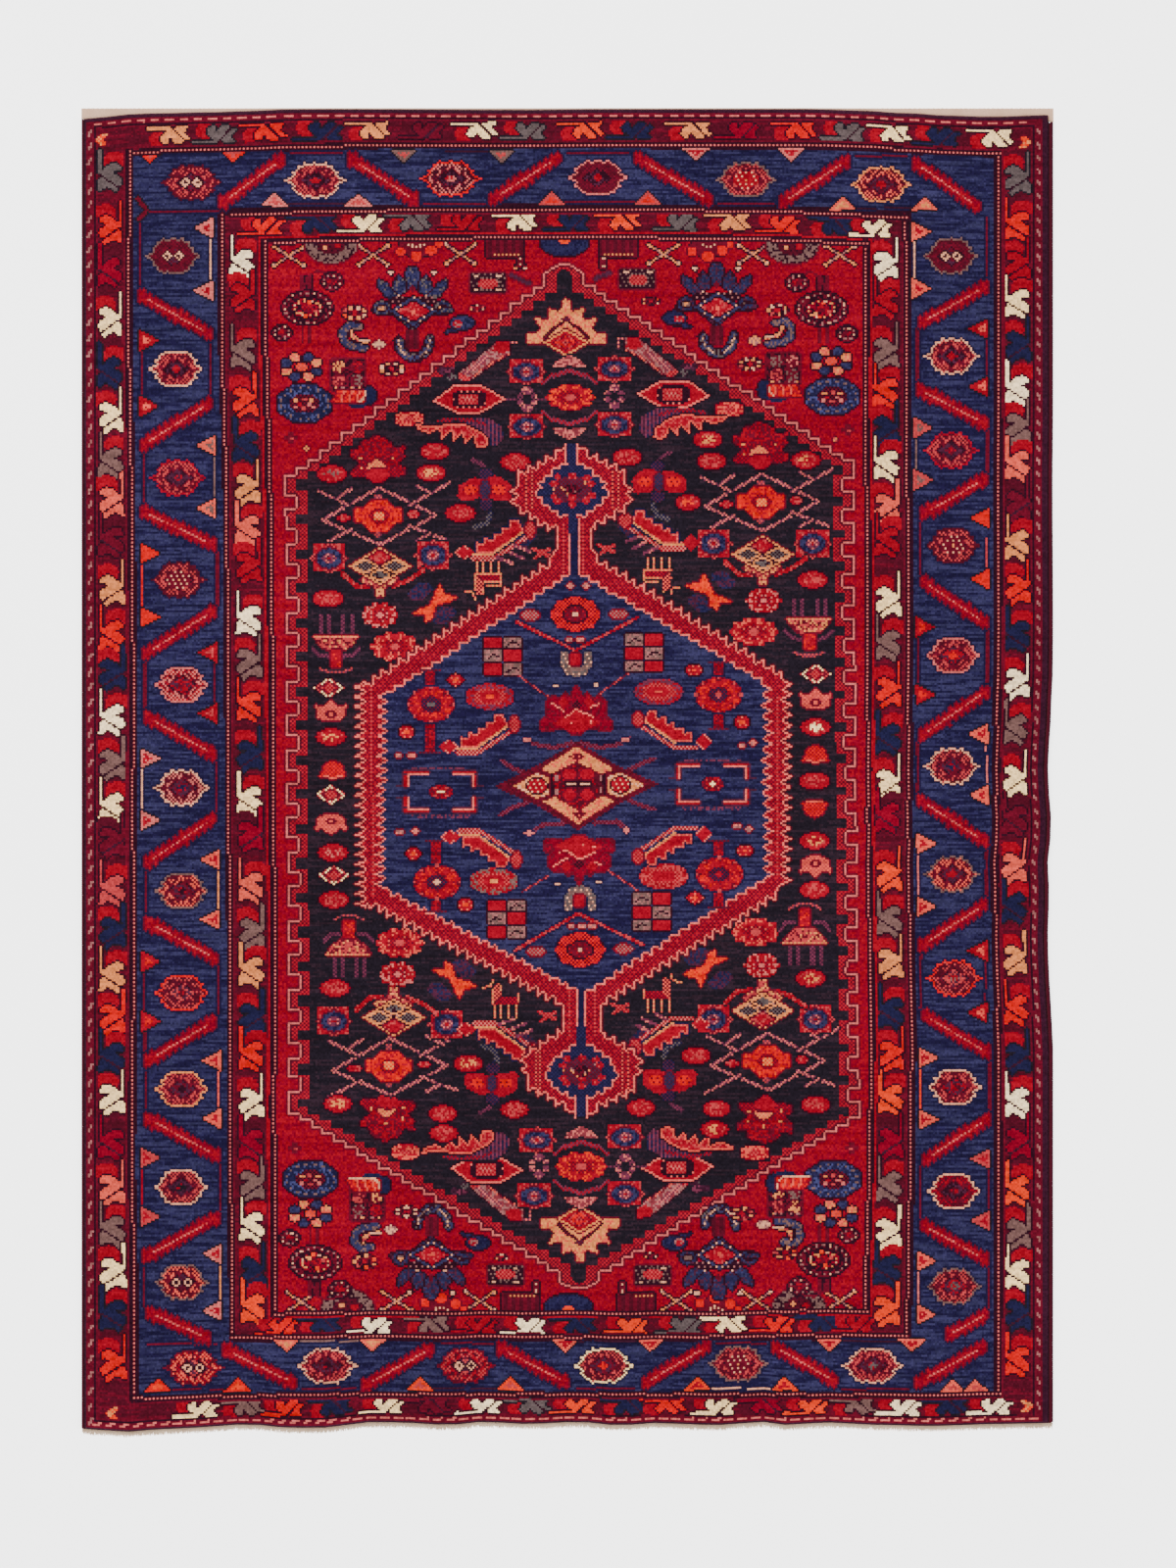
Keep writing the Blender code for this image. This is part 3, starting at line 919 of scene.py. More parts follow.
def triangle_pair_end(line_y, inward, left, right, dye, seeds, line_dye):
    """The same on an end line, wider and flatter."""
    lay(rect(left, line_y - 0.8, right, line_y + 0.8), line_dye, "blue_deep")
    for x in (left, right):
        corners = [(x - END_TRIANGLE_BASE, line_y - inward * 2), (x + END_TRIANGLE_BASE, line_y - inward * 2)]
        lay(polygon(corners + [(x, line_y + inward * END_TRIANGLE_DEPTH)]), dye, "night")
        small = [(x - END_TRIANGLE_BASE + 6, line_y), (x + END_TRIANGLE_BASE - 6, line_y)]
        lay(polygon(small + [(x, line_y + inward * (END_TRIANGLE_DEPTH - 4))]), f"{seeds} {dye}:seeds")


# Plain lines of the blue border that join the bars' ends: x, first y, last y.
JOINS_SIDE = (
    (143, 222, 297), (146, 352, 412), (215, 346, 408), (147, 462, 515), (222, 560, 620), (148, 674, 726),
    (221, 774, 830), (149, 888, 936), (223, 984, 1036), (148, 1048, 1076), (149, 1090, 1136),
    (225, 1186, 1236), (147, 1288, 1334), (1006, 222, 288), (936, 336, 392), (1007, 440, 484),
    (938, 530, 588), (1007, 642, 700), (936, 756, 812), (1006, 866, 918), (939, 972, 1030),
    (1009, 1080, 1136), (939, 1190, 1244), (1008, 1292, 1334),
)
JOINS_END = (
    (157, 168, 222), (216, 150, 224), (157, 296, 350), (209, 432, 496), (157, 578, 642), (209, 732, 790),
    (160, 872, 926), (1371, 150, 222), (1416, 308, 364), (1370, 450, 506), (1416, 588, 648), (1370, 730, 782),
    (1417, 858, 928),
)


def knot_blue_border():
    """The main border: bars, the lines that join them, rosettes and triangles on blue."""
    for x, first, last in JOINS_SIDE:
        lay(rect(x - 1.4, first, x + 1.4, last), "maroon", "blue_deep")
    for y, first, last in JOINS_END:
        lay(rect(first, y - 1, last, y + 1), "maroon", "blue_deep")
    place_all(triangle_pair_side, *TRIANGLES_SIDE)
    place_all(triangle_pair_end, *TRIANGLES_END)
    place_all(bar, *BARS)
    for x, y, *dyes in ROSETTES_SIDE:
        rosette(x, y, *ROSETTE_SIZE_SIDE, *dyes)
    for x, y, *dyes in ROSETTES_END:
        rosette(x, y, *ROSETTE_SIZE_END, *dyes)
    lay(stroke([(141, 203), (150, 215), (143, 224)], 4), "maroon", "night")


def knot_borders():
    """Everything outside the field."""
    knot_guards()
    knot_blue_border()
    knot_thin_frames()
    for left, top, right, bottom in zip(BAND_LEFT, BAND_TOP, BAND_RIGHT, BAND_BOTTOM):
        dotted_frame(left, top, right, bottom, "pink", "wine")
    knot_barber_line()
    knot_corner_leaves()


# ---------------------------------------------------------------- the field's frame

def stair(start, end, steps):
    """Corners of a staircase from one place to another, each step first along y, then along x."""
    (x0, y0), (x1, y1) = start, end
    points = []
    for step in range(steps):
        x = x0 + (x1 - x0) * step / steps
        y = y0 + (y1 - y0) * (step + 1) / steps
        points += [(x, y0 + (y1 - y0) * step / steps), (x, y)]
    return points + [(x1, y1)]


def spikes(first, last, count, rise, before):
    """Corners of sawteeth from the first tip to the last. Each has an upright edge before or after it."""
    points = []
    for number in range(count):
        share = number / (count - 1)
        x = first[0] + (last[0] - first[0]) * share
        y = first[1] + (last[1] - first[1]) * share
        tooth = [(x, y), (x, y + rise)]
        points += tooth[::-1] if before else tooth
    return points


def zigzag(first, last, count, reach):
    """Corners of pointed teeth down or up a side, which stand out by reach along x."""
    points = []
    for number in range(count):
        for share, out in ((number / count, 0), ((number + 0.5) / count, reach)):
            points.append(
                (first[0] + (last[0] - first[0]) * share + out, first[1] + (last[1] - first[1]) * share)
            )
    return points + [last]


# The light line's crenellated sides: x at the top and bottom of the side, how far each notch goes in,
# where the first and last notch start, how many notches, and how long each is.
CRENELS_LEFT = ((291, 294.5), 11.8, (507, 1100), 18, 13)
CRENELS_RIGHT = ((871, 877), -11.5, (489, 1111), 20, 12)
# The band's inner edge the same way: its notches go out.
NOTCHES_LEFT = ((314, 315.5), -12, (490, 1121), 19, 10.5)
NOTCHES_RIGHT = ((850, 856), 10.5, (475, 1129.5), 21, 9.5)


def crenels(sides, depth, starts, count, length):
    """Corners of a crenellated side, downwards."""
    points = []
    for number in range(count):
        share = number / (count - 1)
        x = sides[0] + (sides[1] - sides[0]) * share
        y = starts[0] + (starts[1] - starts[0]) * share
        points += [(x, y), (x + depth, y), (x + depth, y + length), (x, y + length)]
    return points


FIELD_APEX = ((596, 279), (590, 275), (583, 271), (576, 268.5), (570, 270.5), (562, 274.5), (555, 279))
FIELD_FOOT = (
    (570.5, 1308), (575, 1311), (582, 1313.5), (592, 1315), (602, 1313), (609, 1309.5), (612.5, 1305),
)


def field_outline():
    """The corners of the hexagon's light line, down the left side and up the right."""
    left = stair((555, 283.5), (291, 486), 23) + crenels(*CRENELS_LEFT) + [(294, 1137)]
    left += stair((570.5, 1303), (294, 1137), 24)[::-1]
    right = stair((596, 283.2), (871, 470), 24) + crenels(*CRENELS_RIGHT) + [(877, 1141)]
    right += stair((612.5, 1304.5), (877, 1141), 23)[::-1]
    return list(FIELD_APEX) + left + list(FIELD_FOOT) + right[::-1]


def black_outline():
    """The corners of the black ground inside the hexagon's band."""
    left = stair((567.5, 290), (302, 490.5), 23) + crenels(*NOTCHES_LEFT)
    left += stair((583, 1296.5), (303, 1129.5), 24)[::-1]
    right = stair((584, 290.5), (860, 476), 24) + crenels(*NOTCHES_RIGHT)
    right += stair((599, 1297), (867, 1136.5), 23)[::-1]
    top = [(584, 282), (580, 277), (575.5, 275), (571, 277), (567.5, 282)]
    foot = [(583, 1303), (587, 1308), (591, 1309.5), (595, 1308), (599, 1303)]
    return top + left + foot + right[::-1]


def knot_field_frame():
    """The black hexagon with its stepped coral band and light line."""
    lay_lined(polygon(field_outline()), ("pink", "wine"), "brick maroon:check", "maroon")
    lay(polygon(black_outline()), BLACK_GROUND, "brick crimson_deep:check")


# ---------------------------------------------------------------- small figures of the red corners

def cross(x, y):
    """A tan cross with knobbed ends."""
    pen = Pen(x, y)
    for slant in (1, -1):
        pen.line([(-14, -9 * slant), (14, 9 * slant)], 1.9, "tan blush:check", "shade")
        for end in (-1, 1):
            pen.disc(14.5 * end, 9.5 * slant * end, 2.2, 2, "tan oat:mottle", "shade")
    for slant in (1, -1):
        pen.line([(-14, -9 * slant), (14, 9 * slant)], 1.9, "tan blush:check")


def seeded_disc(x, y, half_width, half_height, ground, seeds, core):
    """A dark oval with dim seeds round its edge and a core."""
    pen = Pen(x, y)
    pen.disc(0, 0, half_width, half_height, ground, "shade")
    count = max(6, int(half_width * 0.8))
    for number in range(count):
        angle = 2 * math.pi * number / count + 0.3
        px = x + (half_width - 2.5) * math.cos(angle)
        py = y + (half_height - 2) * math.sin(angle)
        lay(disc(px, py, 1.4, 1.2), seeds if number % 3 else "oat")
    pen.disc(0, 0, half_width * 0.4, half_height * 0.4, f"{core} crimson:mottle")


def flower(x, y, half_width, half_height, petals):
    """A small flower: petals of the given dyes in a ring on dark."""
    pen = Pen(x, y)
    pen.disc(0, 0, half_width, half_height, "shade maroon:mottle")
    ring = ring_of(len(petals) + 2, 0, 0, half_width * 0.7, half_height * 0.66)
    for number, (px, py) in enumerate(ring):
        pen.disc(px, py, half_width * 0.16, half_height * 0.21, petals[number % len(petals)])
    pen.disc(0, 0, half_width * 0.2, half_height * 0.25, "red")


def half_rosette(x, y, up):
    """Half a grey dotted rosette against the field's end. up is 1 at the top end."""
    pen = Pen(x, y, 1, up)
    pen.disc(0, 0, 27, 20, "shade taupe:mottle", "maroon")
    for number in range(7):
        angle = math.pi * (number + 0.5) / 7
        pen.disc(22 * math.cos(angle), 15 * math.sin(angle), 2.6, 2.2, "taupe")
    pen.disc(0, 0, 15, 11, "wine shade:seeds")
    pen.disc(-6, 4, 3, 2.4, "tan")
    pen.disc(7, 2, 3.5, 3, "crimson")


def star_flower(x, y, up):
    """A vermilion flower cut off by the field's end."""
    pen = Pen(x, y, 1, up)
    pen.disc(0, -4, 20, 10, "maroon", "shade")
    for px, py, size in ((-18, 1, 5), (-2, 6, 6), (13, 0, 6), (21, -6, 4)):
        pen.disc(px, py, size, size * 0.85, "vermilion", "maroon")
    pen.line([(-9, -6), (-2, -3), (6, -6)], 2.4, "oat maroon:columns")


def comb_block(x, y, up, stem_side):
    """A block of upright stripes on a dotted pale line, with a dotted stem at one end."""
    pen = Pen(x, y, 1, up)
    pen.rect(-19, -8, 19, 13, "wine maroon:stripes", "shade")
    pen.rect(-14, 10, 16, 11.8, "tan maroon:columns")
    stem_x = 15 * stem_side
    pen.rect(stem_x - 3, 13, stem_x + 3, 25, "maroon", "shade")
    pen.discs(((stem_x, 15), (stem_x, 22)), 1.6, 1.4, "oat")


def blue_half_flower(x, y, up):
    """A dark blue half flower at the middle of the field's end."""
    pen = Pen(x, y, 1, up)
    pen.disc(0, 0, 25, 14, "blue_deep blue:mottle", "shade")
    for px in (-16, -5, 6, 17):
        pen.disc(px, 6, 4, 3, "blue")
    pen.disc(0, -2, 6, 4, "orange")


def plant(x, y, side, up):
    """A big dotted rosette on a stem, an arch over it and two small rosettes. side 1 is the left half."""
    pen = Pen(x, y, side, up)
    pen.rect(-8, -34, 6, -16, "maroon shade:stripes")
    pen.line([(-4, -18), (0, -32), (10, -38), (22, -35), (28, -28)], 2.4, "maroon")
    lay(rect(x - 6, y + 14 * up, x + 8, y + 36 * up), "maroon crimson:stripes")
    seeded_disc(x, y, 26, 17, "maroon shade:mottle", "blush", "maroon")
    seeded_disc(x, y, 16, 10, "crimson_deep shade:mottle", "tan", "maroon")
    for px, py, dye in ((2, -6, "orange"), (-6, 5, "tan"), (8, 3, "coral"), (-2, 8, "orange")):
        pen.turned(1).disc(px, py, 2.2, 2, dye)
    seeded_disc(x + 25 * side, y - 27 * up, 11, 8.5, "shade maroon:mottle", "blush", "maroon")
    seeded_disc(x - 26 * side, y + 25 * up, 10, 7.5, "shade maroon:mottle", "blush", "maroon")


def hook(x, y, side, up, bud):
    """A grey-blue hook with a coral inside and a pale bud at its end."""
    pen = Pen(x, y, side, up)
    pen.line(
        [(8, -10), (-4, -11), (-9, -5), (-8, 5), (0, 10), (14, 11)], 7, "blue_light taupe:fleck", "shade",
    )
    pen.line([(0, -6), (1, 0), (8, 4), (16, 5)], 3, "coral tan:mottle", "shade")
    pen.line([(8, 4.5), (18, 4.5)], 1.4, "oat")
    pen.disc(28, 8, 6.5, 4.2, f"{bud} blush:fleck", "maroon")


PALMETTE_SPIKES = (
    ((-7, -6), (-8, -20), (-4, -28), (4, -28), (8, -20), (7, -6)),
    ((-22, 2), (-19, -12), (-14, -19), (-8, -14), (-6, -2)),
    ((-18, 6), (-28, 2), (-35, -8), (-34, -15), (-26, -11), (-19, -3), (-12, 4)),
)


def blue_palmette(x, y, up, bright):
    """A blue spiked palmette over a red lozenge, with side discs, a stem and a crescent."""
    pen = Pen(x, y, 1, up)
    blue = "blue blue_light:mottle plum:fleck" if bright else "blue_light grey:mottle navy:fleck"
    for outline in PALMETTE_SPIKES:
        for side in (1, -1):
            pen.turned(side).fill(outline, blue, "shade")
    pen.fill([(-30, 10), (-20, 2), (20, 2), (30, 10)], "shade blush:seeds")
    pen.disc(0, -6, 3, 3.5, "maroon")
    for side in (1, -1):
        half = pen.turned(side)
        half.line([(-40, 16), (-20, 18), (0, 34)], 4, blue, "shade")
        half.disc(31, 14, 8.5, 7, blue, "shade")
        half.disc(31, 14, 3.6, 2.8, "taupe tan:mottle", "shade")
        half.line([(22, -22), (16, -14)], 1.8, "shade")
        half.disc(22, -22, 2.4, 2, "oat", "shade")
        half.disc(14, 1, 1.8, 1.4, "oat")
    pen.lozenge(1, 17, 24, 15, "blue_light oat:seeds", "shade")
    pen.lozenge(1, 17, 16.5, 10, "red coral:fleck", "shade")
    pen.disc(1, 18, 2.4, 1.8, "salmon")
    pen.rect(-6, 36, 8, 56, "maroon wine:stripes")
    crescent = [(-14, 47), (-12, 57), (-3, 64), (7, 64), (15, 57), (18, 46)]
    pen.line(crescent, 8, "blue_light grey:mottle shade:fleck", "shade")
    pen.line(crescent, 1.8, "taupe oat:check")


def dotted_square(x, y):
    """A dotted square with pale corners and a red heart."""
    half_width, half_height = 18, 10
    pen = Pen(x, y)
    pen.rect(-half_width, -half_height, half_width, half_height, "shade taupe:seeds", "maroon")
    for px in (-1, 1):
        for py in (-1, 1):
            pen.rect(
                px * (half_width - 3.5), py * (half_height - 2), px * half_width * 0.5,
                py * (half_height - 3.8), "oat",
            )
    pen.octagon(0, 0, half_width * 0.66, half_height * 0.66, "taupe shade:check")
    pen.octagon(0, 0, half_width * 0.54, half_height * 0.54, "red coral:check")


def bud(x, y, side, up, bright):
    """A dark blue bud with a red heart and a tail."""
    pen = Pen(x, y, side, up)
    blue = "blue blue_deep:mottle" if bright else "blue_light navy:mottle"
    pen.fill([(-8, 4), (-18, 11), (-6, 9), (4, 7)], blue, "shade")
    pen.disc(2, 0, 12, 7, blue, "shade")
    pen.disc(-3, 1, 6, 3.6, "blush red:mottle")


def blob_flower(x, y):
    """Eight blue and orange petals round an orange heart."""
    pen = Pen(x, y)
    for number, (px, py) in enumerate(ring_of(8, 0, 0, 17, 10.5)):
        pen.disc(px, py, 5, 4, "salmon tan:mottle" if number % 2 else "blue blue_light:mottle", "shade")
    pen.disc(0, 0, 5.5, 4.2, "orange coral:check", "shade")


def four_square(x, y, dyes):
    """A dark square with four dotted cells of different dyes."""
    pen = Pen(x, y)
    pen.rect(-17, -16, 17, 16, "shade maroon:mottle", "maroon")
    for number, dye in enumerate(dyes):
        px = 8.5 if number % 2 else -8.5
        pen.octagon(px, -8 if number < 2 else 6, 6.2, 5.4, f"{dye} maroon:mottle", cut=0.4)
    pen.discs([(px, 13.5) for px in (-12, -5, 5, 12)], 1.8, 1.4, "blush tan:mottle")


def blue_rosette(x, y, bright):
    """A blue rosette with a dotted rim and a pink heart."""
    pen = Pen(x, y)
    rim = "blue" if bright else "navy"
    pen.octagon(0, 0, 27, 18, f"{rim} blue_pale:fleck blue_deep:seeds", "shade", cut=0.55)
    pen.ring(16, (24, 15.5), (1.5, 1.3), "taupe")
    pen.octagon(0, 0, 15, 9.5, "shade maroon:check")
    for px, py, dye in ((0, -4, "coral"), (-5, 1, "crimson"), (5, 1, "pink"), (0, 5, "coral"), (8, -3, "tan"),
                        (-8, -3, "tan"), (-9, 4, "pink"), (9, 4, "pink")):
        pen.disc(px, py, 2.4, 1.8, dye)


def boat(x, y, side, up):
    """A red boat with pale flames and a blue bow."""
    pen = Pen(x, y, side, up)
    pen.disc(22, -2, 7, 9, "navy", "shade")
    pen.disc(10, 7, 10, 4, "navy")
    pen.fill([(-16, 4), (-10, -7), (18, -8), (18, 5)], "red vermilion:mottle", "maroon")
    for px in (-6, 2, 10):
        pen.line([(px, 3), (px + 1, -3), (px + 3, -6)], 2, "salmon")
    pen.line([(-14, 5), (12, 5), (17, 0), (18, -7)], 1.6, "oat")


def stepped_mark(x, y):
    """A small stepped mark."""
    pen = Pen(x, y)
    pen.rect(-7, -2, 7, 2, "maroon")
    pen.rect(-3, -6, 3, 6, "maroon")
    pen.rect(-2, -1, 2, 1, "coral")


def knot_corner_figures():
    """The four red corners of the field."""
    place_all(
        cross, (295, 262), (381, 261), (470, 260), (677, 260), (768, 260), (857, 261), (308, 1328),
        (405, 1327), (490, 1327), (690, 1327), (772, 1327), (857, 1327),
    )
    place_all(half_rosette, (338, 249, 1), (808, 250, 1), (355, 1335, -1), (815, 1334, -1))
    place_all(star_flower, (427, 256, 1), (724, 256, 1), (452, 1330, -1), (732, 1330, -1))
    place_all(comb_block, (516, 250, 1, 1), (631, 250, 1, -1), (532, 1332, -1, 1), (650, 1332, -1, -1))
    place_all(blue_half_flower, (576, 248, 1), (580, 1334, -1))
    place_all(plant, (314, 315, 1, 1), (838, 316, -1, 1), (322, 1288, 1, -1), (840, 1285, -1, -1))
    place_all(
        hook, (359, 344, 1, 1, "oat"), (798, 340, -1, 1, "tan"), (371, 1262, 1, -1, "oat"),
        (807, 1257, -1, -1, "oat"),
    )
    place_all(
        blue_palmette, (421, 301, 1, False), (731, 297, 1, True), (440, 1297, -1, True),
        (733, 1297, -1, True),
    )
    place_all(dotted_square, (498, 290), (651, 286), (516, 1300), (666, 1300))
    place_all(
        bud, (470, 330, 1, 1, False), (690, 325, -1, 1, True), (486, 1268, 1, -1, True),
        (690, 1268, -1, -1, True),
    )
    place_all(blob_flower, (308, 375), (848, 369), (317, 1238), (853, 1238))
    place_all(
        four_square, (355, 383, ("tan", "crimson", "coral", "taupe")),
        (800, 377, ("taupe", "pink", "coral", "taupe")), (375, 1229, ("coral", "tan", "taupe", "crimson")),
        (802, 1225, ("tan", "taupe", "coral", "tan")),
    )
    place_all(blue_rosette, (311, 412, False), (849, 405, True), (317, 1203, False), (850, 1203, True))
    place_all(boat, (355, 406, 1, 1), (802, 400, -1, 1), (370, 1207, 1, -1), (811, 1205, -1, -1))
    place_all(
        flower, (362, 320, 15, 9, ("oat", "tan", "tan", "orange", "coral", "tan")),
        (400, 377, 15, 8.5, ("oat", "tan", "oat", "tan", "oat", "tan")),
        (487, 315, 10, 4.5, ("oat", "coral", "tan", "coral")),
        (531, 273, 8, 4.5, ("oat", "maroon", "tan", "maroon")),
        (793, 317, 13, 7, ("oat", "tan", "coral", "tan", "oat")),
        (765, 372, 14, 8, ("tan", "oat", "tan", "coral", "tan", "oat")),
        (664, 308, 11, 4.5, ("oat", "orange", "tan", "tan")),
        (415, 1236, 14, 7, ("oat", "oat", "oat", "oat")),
        (372, 1287, 15, 9, ("tan", "orange", "coral", "tan", "tan")),
        (757, 1238, 14, 8, ("tan", "coral", "tan", "oat", "tan")),
        (801, 1278, 14, 8, ("tan", "orange", "tan", "coral", "tan")),
        (512, 1282, 8, 4, ("oat", "maroon", "tan", "maroon")),
        (664, 1281, 8, 4, ("oat", "maroon", "tan", "maroon")),
    )
    place_all(stepped_mark, (298, 448), (865, 440), (302, 1172), (868, 1172))
    for x, y in ((313, 458), (852, 449)):
        lay(disc(x, y, 3, 2.2), "tan coral:check", "maroon")
    for x0, y0, x1, y1 in ((521, 281, 540, 290), (607, 285, 622, 279)):
        lay(stroke([(x0, y0), (x1, y1)], 4), "plum", "maroon")


# ---------------------------------------------------------------- figures on the black ground

def berry(x, y, heart, half_width=15):
    """An oval berry, lighter towards its heart."""
    half_height = 8.5
    pen = Pen(x, y)
    pen.disc(0, 0, half_width, half_height, "red crimson:check", "shade")
    pen.disc(0, 0, half_width * 0.8, half_height * 0.76, "red coral:fleck")
    pen.disc(0, 0, half_width * 0.55, half_height * 0.5, f"red {heart}:mottle")


def bloom(x, y, half_width, half_height, body, seeds, heart):
    """A round flower with a lobed edge, a ring of seeds and a heart."""
    pen = Pen(x, y)
    pen.disc(0, 0, half_width * 0.86, half_height * 0.88, f"{body} crimson:fleck", "shade")
    for px, py in ring_of(10, 0, 0, half_width * 0.78, half_height * 0.78, 0):
        pen.disc(px, py, half_width * 0.22, half_height * 0.24, f"{body} {seeds}:fleck")
        pen.disc(px, py, 1.5, 1.3, seeds)
    pen.disc(0, 0, half_width * 0.52, half_height * 0.52, "crimson maroon:check")
    pen.ring(8, (half_width * 0.46, half_height * 0.44), (1.4, 1.3), f"{seeds} red:check")
    pen.disc(0, 0, half_width * 0.2, half_height * 0.22, heart)


# Half of a crown's outline, from its middle spike to the tip of its wing.
CROWN_HALF = (
    (0, -44), (4, -43), (4.6, -34.4), (7.6, -31.4), (18, -35), (16.6, -25.4), (19.6, -22.4), (32, -25.4),
    (25.6, -14.4), (30.6, -9.4), (39.6, -8.4), (39.6, 0.6), (18, 1),
)


def crown(x, y, up):
    """A tan crown of spikes over a red lozenge."""
    pen = Pen(x, y, 1, up)
    pen.fill(mirrored(CROWN_HALF), "tan salmon:fleck", "maroon")
    pen.line(
        [(-22, -5), (-12, -15), (-5, -19), (0, -24), (5, -19), (12, -15), (22, -5)], 3.6,
        "maroon shade:check",
    )
    pen.lozenge(0, -24, 5, 4, "maroon plum:check")
    lay_lined(lozenge(x, y, 23, 14), "tan", "red crimson:fleck", "maroon")
    lay_lined(lozenge(x, y, 14, 8.5), "coral maroon:check", "red vermilion:mottle")
    pen.lozenge(0, 0, 4.5, 2.8, "coral maroon:check")


def feather(x, y, side, up):
    """A slanting mauve feather with a dotted lower edge and a red upper end in a bracket."""
    pen = Pen(x, y, side, up)
    shape = [(-20, 0), (-7, -2), (-6, 11), (-27, 24), (-44, 37), (-56, 39), (-58, 31), (-37, 14)]
    pen.fill(shape, "flower blush:mottle", "shade")
    pen.fill([(-20, 0), (-8, -2), (-7, 8), (-14, 12), (-24, 8)], "crimson red:check")
    pen.line([(-30, 15), (-42, 24), (-54, 34)], 4, "pink mauve:check")
    pen.line([(-7, 11), (-28, 23), (-46, 36)], 1.8, "salmon maroon:check")
    pen.line([(-50, 37), (-57, 34)], 5, "red coral:check")
    pen.line([(-6, 0), (1, 0), (1, 11)], 1.6, "rose mauve:check")
    for px, py, dye in ((-66, 35, "grey"), (-76, 29, "plum"), (-68, 28, "mauve")):
        pen.disc(px, py, 5, 3.4, f"{dye} plum_dark:mottle")


def eye(x, y, side, up):
    """A long red eye with a thin rose edge, a dark scalloped ring and a coral heart."""
    pen = Pen(x, y, side, up)
    shape = [(-38, 2.5), (-17, -13), (11, -14), (36, 0.5), (10, 15.5), (-14, 15.5)]
    pen.fill_lined(shape, "rose", "red crimson:fleck", "shade")
    pen.line([(36, 1), (52, 1)], 1.8, "mauve pink:check")
    pen.octagon(-1, 1, 16.5, 9.5, "shade rose:seeds", cut=0.35)
    pen.octagon(-1, 1, 14.5, 7.5, "shade", cut=0.35)
    lay(rect(x - 10 - side, y - 5 + up, x + 10 - side, y + 5.5 + up), "coral red:check")
    lay(rect(x - 6 - side, y - 2 + up, x + 6 - side, y + 2 + up), "red pink:check")


def four_lobes(x, y):
    """A flower of two lobes on a crossing line, with a dark heart."""
    pen = Pen(x, y)
    pen.line([(-22, 0), (22, 0)], 1.8, "mauve plum:check")
    pen.discs(((0, -9), (0, 9)), 5.4, 4.2, "mauve pink:fleck", "night")
    pen.discs(((-7, -3), (7, -3), (-7, 3), (7, 3)), 3.4, 3.4, "mauve pink:fleck", "night")
    pen.lozenge(0, 0, 5, 4, "night")


def flower_square(x, y, half_width=17, half_height=12):
    """A red square with a blue oval on it and a mauve flower on that."""
    pen = Pen(x, y)
    pen.rect(-half_width, -half_height, half_width, half_height, "red coral:fleck", "night")
    for px, py in ((0, -0.9), (0, 0.9), (-0.92, 0), (0.92, 0)):
        pen.disc(half_width * px, half_height * py, 5, 2.6, "maroon coral:check")
    pen.disc(0, 0, half_width * 0.8, half_height * 0.72, "blue_light blue_deep:mottle", "maroon")
    pen.disc(0, 0, half_width * 0.44, half_height * 0.4, "plum mauve:mottle")
    pen.ring(6, (half_width * 0.26, half_height * 0.26), (2, 1.4), "pink mauve:check")
    pen.disc(0, 0, 2, 1.4, "crimson")


def serrated_leaf(x, y, side, up):
    """A red leaf from its tip, with a smooth back, long teeth along its belly and purple behind it."""
    pen = Pen(x, y, side, up)
    behind = [
        (34, -6), (52, -8), (68, -7), (82, 1), (84, 14), (77, 22), (71, 20), (69, 12), (59, 4), (47, -1),
    ]
    pen.fill(behind, "plum navy:mottle mauve:columns", "night")
    pen.line([(18, -4), (34, -6), (52, -5), (64, -1)], 3.6, "crimson plum:check")
    body = [
        (-6, -1), (7, 1), (22, 0), (35, -2), (47, 0), (59, 6), (68, 13), (69, 21), (63, 24), (56, 22),
        (53, 11), (45, 20), (42, 9), (33, 17.5), (31, 6), (20.5, 15.5), (18.5, 4), (8, 9), (-4, 4),
    ]
    pen.fill_lined(body, "salmon", "red coral:fleck", "shade")


def block(x, y):
    """A small orange-red block."""
    pen = Pen(x, y)
    pen.octagon(0, 0, 13, 7.5, "red salmon:mottle", "shade", cut=0.4)
    pen.disc(0, 0, 6, 3, "coral red:check")


# A spiked palmette's whole outline.
PALMETTE_OUTLINE = (
    (-1, -26), (3, -23), (8, -22), (14, -18), (16, -12), (28, -15), (26, -7), (28, -4), (20, 3), (28, 8),
    (27, 15), (11, 17), (3, 24), (-3, 24), (-11, 18), (-26, 17), (-28, 13), (-18, 3), (-28, -4), (-29, -11),
    (-20, -10), (-18, -18), (-13, -22), (-8, -21), (-5, -25),
)


def maroon_crown(x, y, up):
    """A crimson spiked palmette with a pale crescent over a red foot."""
    pen = Pen(x, y, 1, up)
    pen.fill(PALMETTE_OUTLINE, "crimson maroon:mottle", "shade")
    for px in (-18, 18):
        pen.disc(px, 12, 7, 4.5, "crimson maroon:check")
    pen.fill([(-13, 14), (-6, 10), (6, 10), (13, 14), (4, 23), (-4, 23)], "red")
    pen.fill([(-11.5, 9), (-8.5, 3), (-2, -1), (5, 3), (9, 8), (-1, 6)], "salmon tan:check", "maroon")
    pen.discs(((-18, -2), (15, -2), (-17, 8), (16, 9), (-2, -7)), 1.5, 1.3, "tan")


